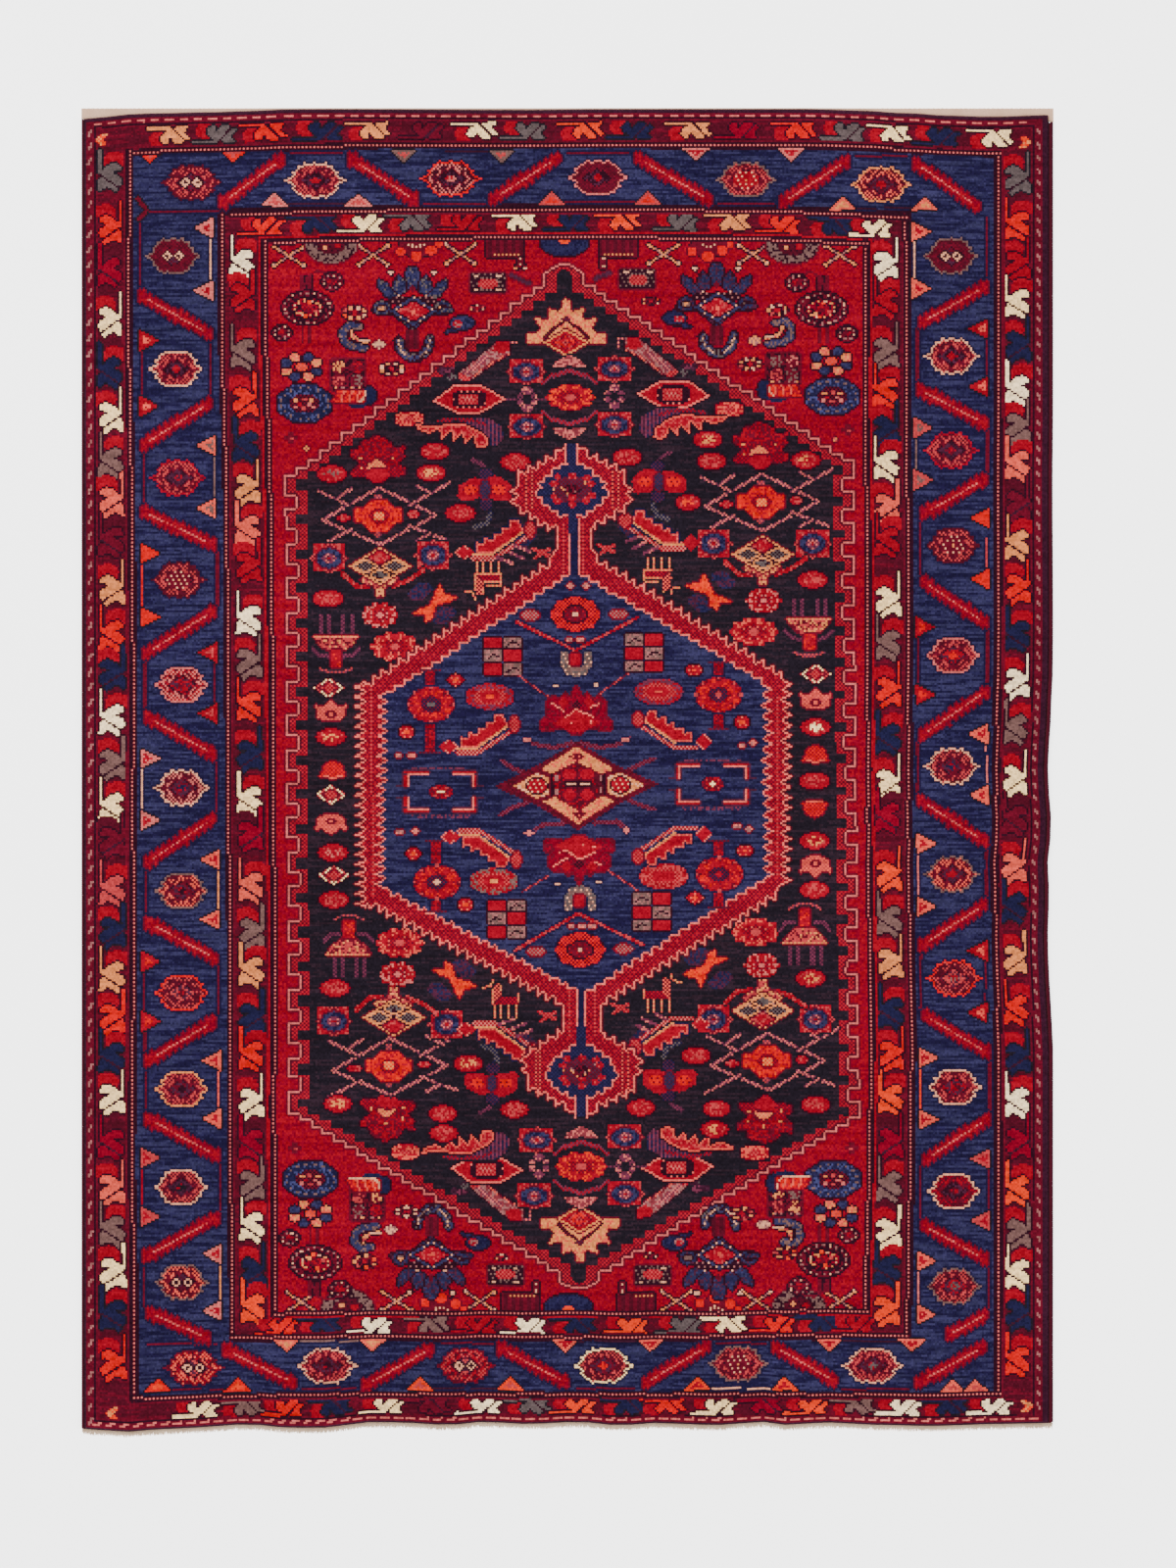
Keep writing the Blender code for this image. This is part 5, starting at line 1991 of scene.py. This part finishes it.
PILE_HEIGHT = 0.0090
SHOULDER_HEIGHT = 0.0066     # where the clipped edge of the pile rounds over
FLANK_HEIGHT = 0.0014
FOOT_INSET = 0.0007
KNOT_RISE = 0.00022          # how far one knot stands over or under the next
KNOT_SHIFT = 0.00016         # how far a knot sits off its row or column
PILE_SWELL = 0.00035         # the slow rise and fall of the clipped pile
PILE_STRIPS = 4
PAD = 2                      # extra rows and columns that close the pile's edge
PIECE_GAP = 0.0003
BACK_HEIGHT = 0.0002
BACK_LAP = 0.0018            # how far the ground weave runs on under the overcast edges
END_LAP = 0.0004             # and under the two ends
MAP_MARGIN = 2               # faces left free round each part of a UV map
draw = np.random.default_rng(11)


def quad_object(name, points, quads, material):
    """An object of four-cornered faces, with the points that no face uses left out."""
    used, corners = np.unique(quads, return_inverse=True)
    mesh = bpy.data.meshes.new(name)
    mesh.from_pydata(points[used].tolist(), [], corners.reshape(quads.shape).tolist())
    mesh.materials.append(material)
    made = bpy.data.objects.new(name, mesh)
    bpy.context.scene.collection.objects.link(made)
    return made


def give_faces(made, attribute, values):
    """Gives every face of an object a number that its material reads."""
    data = made.data.attributes.new(attribute, "FLOAT", "FACE").data
    data.foreach_set("value", np.asarray(values, np.float32))


def give_uv(made, name, uv):
    """A UV map from an array of (faces, corners, 2)."""
    layer = made.data.uv_layers.new(name=name)
    layer.data.foreach_set("uv", np.asarray(uv, np.float32).ravel())


def grid_quads(rows, columns):
    """Corner numbers of every face between rows x columns of points, wound to face up."""
    first = (np.arange(rows - 1)[:, None] * columns + np.arange(columns - 1)).ravel()
    return np.stack([first, first + columns, first + columns + 1, first + 1], axis=1)


def swell(x, y):
    """The slow rise and fall of the pile, in metres."""
    waves = np.sin(3.1 * x + 2.2 * y) + np.sin(7.3 * y - 2.6 * x + 1.0) + np.sin(11.7 * x + 5.1 * y + 2.0)
    return PILE_SWELL * waves / 3


def pile_points():
    """x, y and z of the corners between knots, with the rings that close the pile's edge."""
    x, y = to_metres(corner_x, corner_y)
    z = PILE_HEIGHT + swell(x, y) + draw.uniform(-KNOT_RISE, KNOT_RISE, x.shape)
    middle = (slice(1, -1), slice(1, -1))
    x[middle] += draw.uniform(-KNOT_SHIFT, KNOT_SHIFT, x[middle].shape)
    y[middle] += draw.uniform(-KNOT_SHIFT, KNOT_SHIFT, y[middle].shape)
    z[0] = z[-1] = z[:, 0] = z[:, -1] = SHOULDER_HEIGHT
    x = np.pad(x, PAD, mode="edge")
    y = np.pad(y, PAD, mode="edge")
    z = np.pad(z, PAD)
    z[1, 1:-1] = z[-2, 1:-1] = z[1:-1, 1] = z[1:-1, -2] = FLANK_HEIGHT
    x[:, 0] += FOOT_INSET
    x[:, -1] -= FOOT_INSET
    y[0] -= FOOT_INSET
    y[-1] += FOOT_INSET
    return x, y, z


def folded_uv(rows, columns, row_count, column_count):
    """A strip's knots laid out as two halves, one above the other, so that the map is nearly square."""
    half = (column_count + 1) // 2
    right = columns >= half
    width = half + 2 * MAP_MARGIN
    height = row_count + 2 * MAP_MARGIN
    uv = np.empty((len(rows), 4, 2))
    for corner, (down, across) in enumerate(((0, 0), (1, 0), (1, 1), (0, 1))):
        uv[:, corner, 0] = (np.where(right, columns - half, columns) + across + MAP_MARGIN) / width
        uv[:, corner, 1] = (rows + down + MAP_MARGIN + right * height) / (2 * height)
    return uv


def make_pile(material):
    """The knotted pile as strips across the rug, one face for every knot."""
    x, y, z = pile_points()
    points = np.stack([x, y, z], axis=2).reshape(-1, 3)
    quads = grid_quads(*x.shape)
    face_rows = x.shape[0] - 1
    face_columns = x.shape[1] - 1
    rows, columns = np.divmod(np.arange(len(quads)), face_columns)
    end_pad = (rows < PAD) | (rows >= face_rows - PAD)
    side_pad = (columns < PAD) | (columns >= face_columns - PAD)
    kept = ~(end_pad & side_pad)
    dyes = np.pad(chart, PAD, mode="edge").ravel()
    tones = draw.uniform(-1, 1, len(quads))
    bounds = np.linspace(0, face_rows, PILE_STRIPS + 1).astype(int)
    strips = []
    for number, (first, last) in enumerate(zip(bounds, bounds[1:])):
        mine = kept & (rows >= first) & (rows < last)
        strip = quad_object(f"pile_{number + 1}", points, quads[mine], material)
        give_faces(strip, "dye", (dyes[mine] + 0.5) / len(DYES))
        give_faces(strip, "tone", tones[mine])
        give_uv(strip, "OFBake", folded_uv(rows[mine] - first, columns[mine], last - first, face_columns))
        strips.append(strip)
    return strips


def every_other(count):
    """Every second number below count, and the last."""
    return np.unique(np.append(np.arange(0, count, 2), count - 1))


def make_back(material):
    """The back of the cloth, which shows the backs of the knots."""
    rows = every_other(KNOT_ROWS + 1)
    columns = every_other(KNOT_COLUMNS + 1)
    x, y = to_metres(corner_x[np.ix_(rows, columns)], corner_y[np.ix_(rows, columns)])
    x[:, 0] -= BACK_LAP
    x[:, -1] += BACK_LAP
    y[0] += END_LAP
    y[-1] -= END_LAP
    z = np.full(x.shape, BACK_HEIGHT)
    points = np.stack([x, y, z], axis=2).reshape(-1, 3)
    quads = grid_quads(*x.shape)[:, ::-1]
    back = quad_object("rug_back", points, quads, material)
    dyes = chart[np.ix_(rows[:-1], columns[:-1])].ravel()
    give_faces(back, "dye", (dyes + 0.5) / len(DYES))
    give_faces(back, "tone", draw.uniform(-1, 1, len(quads)))
    face_columns = len(columns) - 1
    face_rows = len(rows) - 1
    row, column = np.divmod(np.arange(len(quads)), face_columns)
    uv = np.empty((len(quads), 4, 2))
    for corner, (down, across) in enumerate(((0, 1), (1, 1), (1, 0), (0, 0))):
        uv[:, corner, 0] = (column + across + 1) / (face_columns + 2)
        uv[:, corner, 1] = (row + down + 1) / (face_rows + 2)
    give_uv(back, "OFBake", uv)
    return back


SELVEDGE_HEIGHT = 0.0072
SELVEDGE_POINTS = 8
WRAP_PITCH = 0.0030
WRAP_SHAPE = (0.84, 1.0, 1.0)    # the yarn's groove and crown, as a share of the section
WRAP_SLANT = 0.0007
WRAP_JITTER = 0.03               # how much the section varies from one point to the next
WRAP_END = 0.5                   # the section's share where the edge ends
# The outer half of each wrapped edge takes a darker dye: painted shade on its outward slope.
SHADED_OUTER_DYE = "plum_dark"
INNER_DYE = "wine"


def make_selvedge(name, side, outward, width, low_y, high_y, material):
    """An edge wrapped in yarn along one side of the pile, its outer half painted darker as shade."""
    stations = int((high_y - low_y) / WRAP_PITCH) * len(WRAP_SHAPE)
    y = np.linspace(low_y, high_y, stations)
    middle = side_at(side, y) + outward * (PIECE_GAP + width / 2)
    share = np.tile(WRAP_SHAPE, stations // len(WRAP_SHAPE))
    share = share + draw.uniform(-WRAP_JITTER, WRAP_JITTER, stations)
    share = np.minimum(share, 1.0)
    share[[0, -1]] = WRAP_END
    turn = 2 * np.pi * (np.arange(SELVEDGE_POINTS) + 0.5) / SELVEDGE_POINTS
    x = middle[:, None] + width / 2 * share[:, None] * np.cos(turn)
    z = SELVEDGE_HEIGHT / 2 * (1 + share[:, None] * np.sin(turn))
    lengthwise = y[:, None] + WRAP_SLANT * np.cos(turn) * outward
    points = np.stack([x, lengthwise, z], axis=2).reshape(-1, 3)
    ring = np.arange(SELVEDGE_POINTS)
    ring_start = np.arange(stations - 1)[:, None] * SELVEDGE_POINTS
    first = (ring_start + ring).ravel()
    after = (ring_start + (ring + 1) % SELVEDGE_POINTS).ravel()
    quads = np.stack([first, after, after + SELVEDGE_POINTS, first + SELVEDGE_POINTS], axis=1)[:, ::-1]
    made = quad_object(name, points, quads, material)
    # Faces that look outward get the darker dye, as painted shade on the outer slope.
    outer = np.tile(np.cos(turn + np.pi / SELVEDGE_POINTS) * outward > 0.1, stations - 1)
    numbers = np.where(outer, DYE_NUMBER[SHADED_OUTER_DYE], DYE_NUMBER[INNER_DYE])
    give_faces(made, "dye", (numbers + 0.5) / len(DYES))
    give_faces(made, "tone", np.repeat(draw.uniform(-1, 1, stations - 1), SELVEDGE_POINTS))
    made.data.shade_smooth()
    return made


END_THICKNESS = 0.0026
END_COLUMNS = 980
END_ROWS = 8
RIB_PITCH = 0.0052           # from one slanted rib of the woven end to the next
RIB_SLANT = 0.5
RIB_DEPTH = 0.0007
END_FOOT = (-0.001, 0.0001)      # the heights in mm between which the CAD strip has its bottom points
END_MIDDLE = 0.0005              # how far in from the outer edge the inner edge's points are, at least
END_TRIM = 0.0006                # how far in from the outer edge the ragged edge runs
END_WAVE = 0.0004
END_JITTER = 0.0003
END_EDGE_HEIGHT = 0.0012


def make_woven_end(material):
    """The plain woven cotton end above the pile, with slanted ribs."""
    corners = edge_points("end_strip_top", *END_FOOT)
    outer_y = highest[1]
    inner = corners[corners[:, 1] < outer_y - END_MIDDLE]
    order = np.argsort(inner[:, 0], kind="stable")
    x = np.linspace(inner[:, 0].min(), inner[:, 0].max(), END_COLUMNS)
    inner_y = np.interp(x, inner[order, 0], inner[order, 1])
    share = np.linspace(0, 1, END_ROWS)[:, None]
    y = outer_y + (inner_y - outer_y) * share
    ragged = END_WAVE * np.sin(x * 900) + draw.uniform(-END_JITTER, END_JITTER, END_COLUMNS)
    y[0] = outer_y - END_TRIM + ragged * 0.6
    across = np.broadcast_to(x, y.shape)
    rib = np.sin(2 * np.pi * (across + RIB_SLANT * y) / RIB_PITCH)
    z = END_THICKNESS - RIB_DEPTH / 2 + RIB_DEPTH / 2 * rib
    z[0] = END_EDGE_HEIGHT
    across = np.vstack([across[:1], across, across[-1:]])
    y = np.vstack([y[:1], y, y[-1:]])
    z = np.vstack([np.zeros((1, END_COLUMNS)), z, np.zeros((1, END_COLUMNS))])
    points = np.stack([across, y, z], axis=2).reshape(-1, 3)
    made = quad_object("woven_end", points, grid_quads(*z.shape), material)
    made.data.shade_smooth()
    return made


FRINGE_STRIP_DEPTH = 0.0024
FRINGE_STRIP_HEIGHT = 0.0024
FRINGE_REACH = 0.0105
FRINGE_COLUMNS = 980
STRANDS = 2350
STRAND_WIDTH = 0.0012
STRAND_SWAY = 0.0013
STRAND_SHORTEST = 0.5            # the shortest strand, as a share of the longest
STRAND_LIFT = (0.0006, 0.0016)   # how high a strand lies at its root
STRAND_RINGS = ((0, 1.0), (0.35, 1.1), (0.7, 0.9), (1, 0.35))   # share of the reach, share of the width
STRAND_FLATNESS = 0.8            # a strand's height as a share of its width
FRINGE_INSET = 0.0015            # how far in from the rug's corners the strands start
STRIP_INSET = 0.001
STRIP_RIPPLE = 0.0003
STRIP_FOOT = 0.0005              # the strip's height where the strands leave it


def fringe_strip():
    """Points and faces of the foundation strip that the fringe leaves."""
    x = np.linspace(lowest[0] + STRIP_INSET, highest[0] - STRIP_INSET, FRINGE_COLUMNS)
    inner_y = side_at("bottom", x) - PIECE_GAP
    crown = FRINGE_STRIP_HEIGHT - STRIP_RIPPLE + STRIP_RIPPLE * np.sin(x * 2100)
    rows = [
        (inner_y, np.zeros_like(x)),
        (inner_y, crown),
        (inner_y - FRINGE_STRIP_DEPTH * 0.6, crown * 0.9),
        (inner_y - FRINGE_STRIP_DEPTH, np.full_like(x, STRIP_FOOT)),
    ]
    y = np.array([row[0] for row in rows])
    z = np.array([row[1] for row in rows])
    points = np.stack([np.broadcast_to(x, y.shape), y, z], axis=2).reshape(-1, 3)
    return points, grid_quads(*y.shape)


def make_fringe(material):
    """The short cut warp ends below the pile."""
    points, quads = fringe_strip()
    point_parts, quad_parts = [points], [quads]
    first = len(points)
    corner = np.array([(-1, -1), (1, -1), (1, 1), (-1, 1)]) / 2
    pitch = (highest[0] - lowest[0] - 2 * FRINGE_INSET) / STRANDS
    for strand in range(STRANDS):
        x = lowest[0] + FRINGE_INSET + pitch * (strand + draw.uniform(0, 1))
        root_y = float(side_at("bottom", x)) - PIECE_GAP - FRINGE_STRIP_DEPTH * 0.7
        reach = (FRINGE_REACH - FRINGE_STRIP_DEPTH) * draw.uniform(STRAND_SHORTEST, 1)
        sway = draw.uniform(-STRAND_SWAY, STRAND_SWAY)
        lift = draw.uniform(*STRAND_LIFT)
        for share, size in STRAND_RINGS:
            width = STRAND_WIDTH * size
            ring = np.empty((4, 3))
            ring[:, 0] = x + sway * share**2 + corner[:, 0] * width
            ring[:, 1] = root_y - reach * share
            ring[:, 2] = lift * (1 - 0.4 * share) + (corner[:, 1] + 0.5) * width * STRAND_FLATNESS
            point_parts.append(ring)
        for low in range(first, first + 4 * (len(STRAND_RINGS) - 1), 4):
            for side in range(4):
                after = (side + 1) % 4
                quad_parts.append([[low + side, low + after, low + 4 + after, low + 4 + side]])
        first += 4 * len(STRAND_RINGS)
        quad_parts.append([[first - 4, first - 3, first - 2, first - 1]])
    made = quad_object("fringe", np.vstack(point_parts), np.vstack(quad_parts), material)
    made.data.shade_smooth()
    return made


# ---------------------------------------------------------------- materials

def node(tree, kind, inputs=None, **settings):
    """A shader node. A socket among its inputs is linked, and anything else is set."""
    made = tree.nodes.new(kind)
    for name, value in settings.items():
        setattr(made, name, value)
    for name, value in (inputs or {}).items():
        if isinstance(value, bpy.types.NodeSocket):
            tree.links.new(value, made.inputs[name])
        else:
            made.inputs[name].default_value = value
    return made


def product(tree, first, second):
    """The product of two values, as a socket."""
    return node(tree, "ShaderNodeMath", {0: first, 1: second}, operation="MULTIPLY").outputs[0]


def tone_factor(tree, amount):
    """Each face's own tone as a factor about 1 that swings by the amount each way."""
    tone = node(tree, "ShaderNodeAttribute", attribute_name="tone").outputs["Fac"]
    return node(tree, "ShaderNodeMath", {0: tone, 1: amount, 2: 1.0}, operation="MULTIPLY_ADD").outputs[0]


def new_material(name, roughness, sheen):
    """A material with its shader, ready for its colour and relief."""
    material = bpy.data.materials.new(name)
    material.use_nodes = True
    shader = material.node_tree.nodes["Principled BSDF"]
    shader.inputs["Roughness"].default_value = roughness
    shader.inputs["Specular IOR Level"].default_value = 0.05
    shader.inputs["Sheen Weight"].default_value = sheen
    shader.inputs["Sheen Roughness"].default_value = 0.5
    return material, material.node_tree, shader


def linear(code):
    """A linear colour from a six-digit sRGB code."""
    parts = [int(code[place:place + 2], 16) / 255 for place in (0, 2, 4)]
    return (*[part / 12.92 if part <= 0.04045 else ((part + 0.055) / 1.055) ** 2.4 for part in parts], 1.0)


def dye_ramp(tree):
    """The dye of each face, from its number."""
    number = node(tree, "ShaderNodeAttribute", attribute_name="dye").outputs["Fac"]
    ramp = node(tree, "ShaderNodeValToRGB", {"Fac": number})
    ramp.color_ramp.interpolation = "CONSTANT"
    stops = ramp.color_ramp.elements
    while len(stops) < len(DYES):
        stops.new(0.5)
    for place, stop in enumerate(stops):
        stop.position = place / len(DYES)
    for stop, code in zip(stops, DYES.values()):
        stop.color = linear(code)
    return ramp.outputs["Color"]


def noise(tree, scale, stretch=(1, 1, 1), detail=2.0):
    """Noise from 0 to 1 over the object's own metres, stretched along an axis where its number is smaller."""
    place = node(tree, "ShaderNodeTexCoord").outputs["Object"]
    moved = node(tree, "ShaderNodeMapping", {"Vector": place, "Scale": stretch}).outputs["Vector"]
    settings = {"Vector": moved, "Scale": scale, "Detail": detail}
    return node(tree, "ShaderNodeTexNoise", settings).outputs["Fac"]


def swing(tree, value, amount):
    """A value from 0 to 1 turned into a factor about 1 that swings by the amount each way."""
    settings = {
        "Value": value, "From Min": 0.25, "From Max": 0.75, "To Min": 1 - amount, "To Max": 1 + amount,
    }
    return node(tree, "ShaderNodeMapRange", settings).outputs["Result"]


def scaled(tree, colour, factor):
    """A colour made lighter or darker by a factor."""
    parts = dict.fromkeys(("Red", "Green", "Blue"), factor)
    grey = node(tree, "ShaderNodeCombineColor", parts).outputs[0]
    mix = node(tree, "ShaderNodeMix", data_type="RGBA", blend_type="MULTIPLY")
    mix.inputs["Factor"].default_value = 1.0
    tree.links.new(colour, mix.inputs["A"])
    tree.links.new(grey, mix.inputs["B"])
    return mix.outputs["Result"]


def relief(tree, shader, height, strength, distance):
    """A bump on the shader."""
    settings = {"Height": height, "Strength": strength, "Distance": distance}
    bump = node(tree, "ShaderNodeBump", settings)
    tree.links.new(bump.outputs["Normal"], shader.inputs["Normal"])


# How much lighter or darker the colour gets:
KNOT_TONE = 0.26             # from one knot to the next
YARN_TONE = 0.14             # from one turn of the wrapped yarn to the next
ABRASH = 0.24                # from row to row
PILE_WEAR = 0.10             # in larger worn places
FIBRE_TONE = 0.16            # from fibre to fibre


def pile_material():
    """Clipped wool pile: dye, knot to knot tone, abrash along the rows, worn places and fibres."""
    material, tree, shader = new_material("wool_pile", 0.95, 0.03)
    tone = tone_factor(tree, KNOT_TONE)
    abrash = swing(tree, noise(tree, 3.0, (0.5, 40.0, 1.0), 5.0), ABRASH)
    wear = swing(tree, noise(tree, 3.2, detail=3.0), PILE_WEAR)
    fibre = swing(tree, noise(tree, 900.0, detail=3.0), FIBRE_TONE)
    factor = product(tree, product(tree, tone, abrash), product(tree, wear, fibre))
    colour = scaled(tree, dye_ramp(tree), factor)
    tree.links.new(colour, shader.inputs["Base Color"])
    relief(tree, shader, noise(tree, 1100.0, detail=3.0), 0.5, 0.0006)
    return material


WEFT_COLOUR = "a89880"


def back_material():
    """The rug's back: the same dyes, duller, with cotton weft between the rows of knots."""
    material, tree, shader = new_material("wool_back", 0.95, 0.05)
    fibre = swing(tree, noise(tree, 500.0, detail=3.0), 0.14)
    dull = scaled(tree, dye_ramp(tree), fibre)
    place = node(tree, "ShaderNodeTexCoord").outputs["Object"]
    waves = node(tree, "ShaderNodeTexWave", {"Vector": place, "Scale": 52.0}, bands_direction="Y")
    settings = {"Value": waves.outputs["Fac"], "From Min": 0.8, "From Max": 1.0, "To Min": 0.0, "To Max": 0.4}
    weft = node(tree, "ShaderNodeMapRange", settings).outputs["Result"]
    mix = node(tree, "ShaderNodeMix", data_type="RGBA")
    tree.links.new(weft, mix.inputs["Factor"])
    tree.links.new(dull, mix.inputs["A"])
    mix.inputs["B"].default_value = linear(WEFT_COLOUR)
    tree.links.new(mix.outputs["Result"], shader.inputs["Base Color"])
    relief(tree, shader, waves.outputs["Fac"], 0.4, 0.0005)
    return material


def selvedge_material():
    """Wool yarn wrapped round the edges."""
    material, tree, shader = new_material("wool_selvedge", 0.9, 0.15)
    tone = tone_factor(tree, YARN_TONE)
    worn = swing(tree, noise(tree, 14.0, detail=3.0), 0.15)
    fibre = noise(tree, 1.0, (900.0, 2600.0, 900.0), 2.0)
    factor = product(tree, product(tree, tone, worn), swing(tree, fibre, 0.18))
    tree.links.new(scaled(tree, dye_ramp(tree), factor), shader.inputs["Base Color"])
    relief(tree, shader, fibre, 0.5, 0.0005)
    return material


def cotton_material(name, light, dark, stretch):
    """Undyed cotton yarn between two tones."""
    material, tree, shader = new_material(name, 0.9, 0.1)
    soil = noise(tree, 30.0, detail=3.0)
    mix = node(tree, "ShaderNodeMix", data_type="RGBA")
    tree.links.new(soil, mix.inputs["Factor"])
    mix.inputs["A"].default_value = linear(light)
    mix.inputs["B"].default_value = linear(dark)
    fibre = noise(tree, 1.0, stretch, 3.0)
    tree.links.new(scaled(tree, mix.outputs["Result"], swing(tree, fibre, 0.14)), shader.inputs["Base Color"])
    relief(tree, shader, fibre, 0.6, 0.0004)
    return material


FLOOR_SHADE = 0.93
FLOOR_GLOW = 2.6             # painted glow the floor gives off itself, to look like a lit white sweep


def floor_material():
    """Plain pale floor that glows with painted light."""
    material, tree, shader = new_material("pale_glowing_floor", 0.8, 0.0)
    mottle = swing(tree, noise(tree, 3.0, detail=2.0), 0.004)
    parts = dict.fromkeys(("Red", "Green", "Blue"), FLOOR_SHADE)
    shade = node(tree, "ShaderNodeCombineColor", parts).outputs[0]
    tree.links.new(scaled(tree, shade, mottle), shader.inputs["Base Color"])
    # The floor's own glow is painted light: it brightens the floor and lights the rug's edges.
    shader.inputs["Emission Color"].default_value = (1, 1, 1, 1)
    shader.inputs["Emission Strength"].default_value = FLOOR_GLOW
    return material


# ---------------------------------------------------------------- the pieces

SELVEDGE_LEFT_WIDTH = 0.0045
SELVEDGE_RIGHT_WIDTH = 0.0080
SELVEDGE_TRIM = 0.0002           # how far each selvedge stops short of the CAD one's ends


def claim(obj, node_name):
    """Ties a piece to the rug and lets it stand for a CAD node."""
    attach(obj, "root")
    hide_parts(node_name)


def make_rug():
    """Every piece of the rug."""
    wool_edge = selvedge_material()
    pile = make_pile(pile_material())
    back = make_back(back_material())
    edges = {}
    for name, side, outward, width in (
        ("selvedge_left", "left", -1, SELVEDGE_LEFT_WIDTH),
        ("selvedge_right", "right", 1, SELVEDGE_RIGHT_WIDTH),
    ):
        low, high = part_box(name)
        ends = (low[1] + SELVEDGE_TRIM, high[1] - SELVEDGE_TRIM)
        edges[name] = make_selvedge(f"{name}_yarn", side, outward, width, *ends, wool_edge)
    woven = make_woven_end(cotton_material("cotton_woven", "ecc4a6", "c89c80", (1500.0, 500.0, 900.0)))
    fringe = make_fringe(cotton_material("cotton_warp", "ecd2b4", "b8987c", (1800.0, 300.0, 900.0)))
    claim(back, "rug_body")
    for strip in pile:
        claim(strip, "rug_body")
    for name, edge in edges.items():
        claim(edge, name)
    claim(woven, "end_strip_top")
    claim(fringe, "fringe_bottom")


# ---------------------------------------------------------------- floor, light and camera

FLOOR_SIZE = 14.0
CAMERA_HEIGHT = 8.0
CAMERA_X = 0.0311
CAMERA_Y = -0.0165
FRAME_HEIGHT = 2.372         # metres of floor from the top of the picture to the bottom
SENSOR_MM = 36.0
FLOOR_DROP = 0.0006          # how far the floor lies under the rug
WORLD_STRENGTH = 1.05
# Name, place, size in metres and power in watts.
LIGHTS = (
    ("key", (-2.2, 2.0, 4.6), 3.0, 200.0),
    ("fill", (2.6, -1.8, 4.2), 3.5, 85.0),
)


def make_floor():
    """A plain pale floor under the rug, glowing with painted light."""
    bpy.ops.mesh.primitive_plane_add(size=FLOOR_SIZE, location=(0, 0, -FLOOR_DROP))
    floor = bpy.context.object
    floor.name = "floor"
    floor.data.materials.append(floor_material())


def make_lights():
    """Soft light from all round, a little stronger from the upper left."""
    world = bpy.data.worlds.new("studio")
    bpy.context.scene.world = world
    world.use_nodes = True
    background = world.node_tree.nodes["Background"]
    background.inputs["Color"].default_value = (1, 1, 1, 1)
    background.inputs["Strength"].default_value = WORLD_STRENGTH
    for name, place, size, power in LIGHTS:
        light = bpy.data.lights.new(name, "AREA")
        light.shape = "SQUARE"
        light.size = size
        light.energy = power
        made = bpy.data.objects.new(name, light)
        made.location = place
        made.rotation_euler = (-Vector(place)).to_track_quat("-Z", "Y").to_euler()
        bpy.context.scene.collection.objects.link(made)


def make_camera():
    """The camera of the photograph, straight above the rug."""
    camera = bpy.data.cameras.new("camera")
    camera.sensor_width = SENSOR_MM
    camera.lens = SENSOR_MM * CAMERA_HEIGHT / FRAME_HEIGHT
    camera.clip_end = 100
    made = bpy.data.objects.new("camera", camera)
    made.location = (CAMERA_X, CAMERA_Y, CAMERA_HEIGHT)
    bpy.context.scene.collection.objects.link(made)
    bpy.context.scene.camera = made


make_rug()
make_floor()
make_lights()
make_camera()
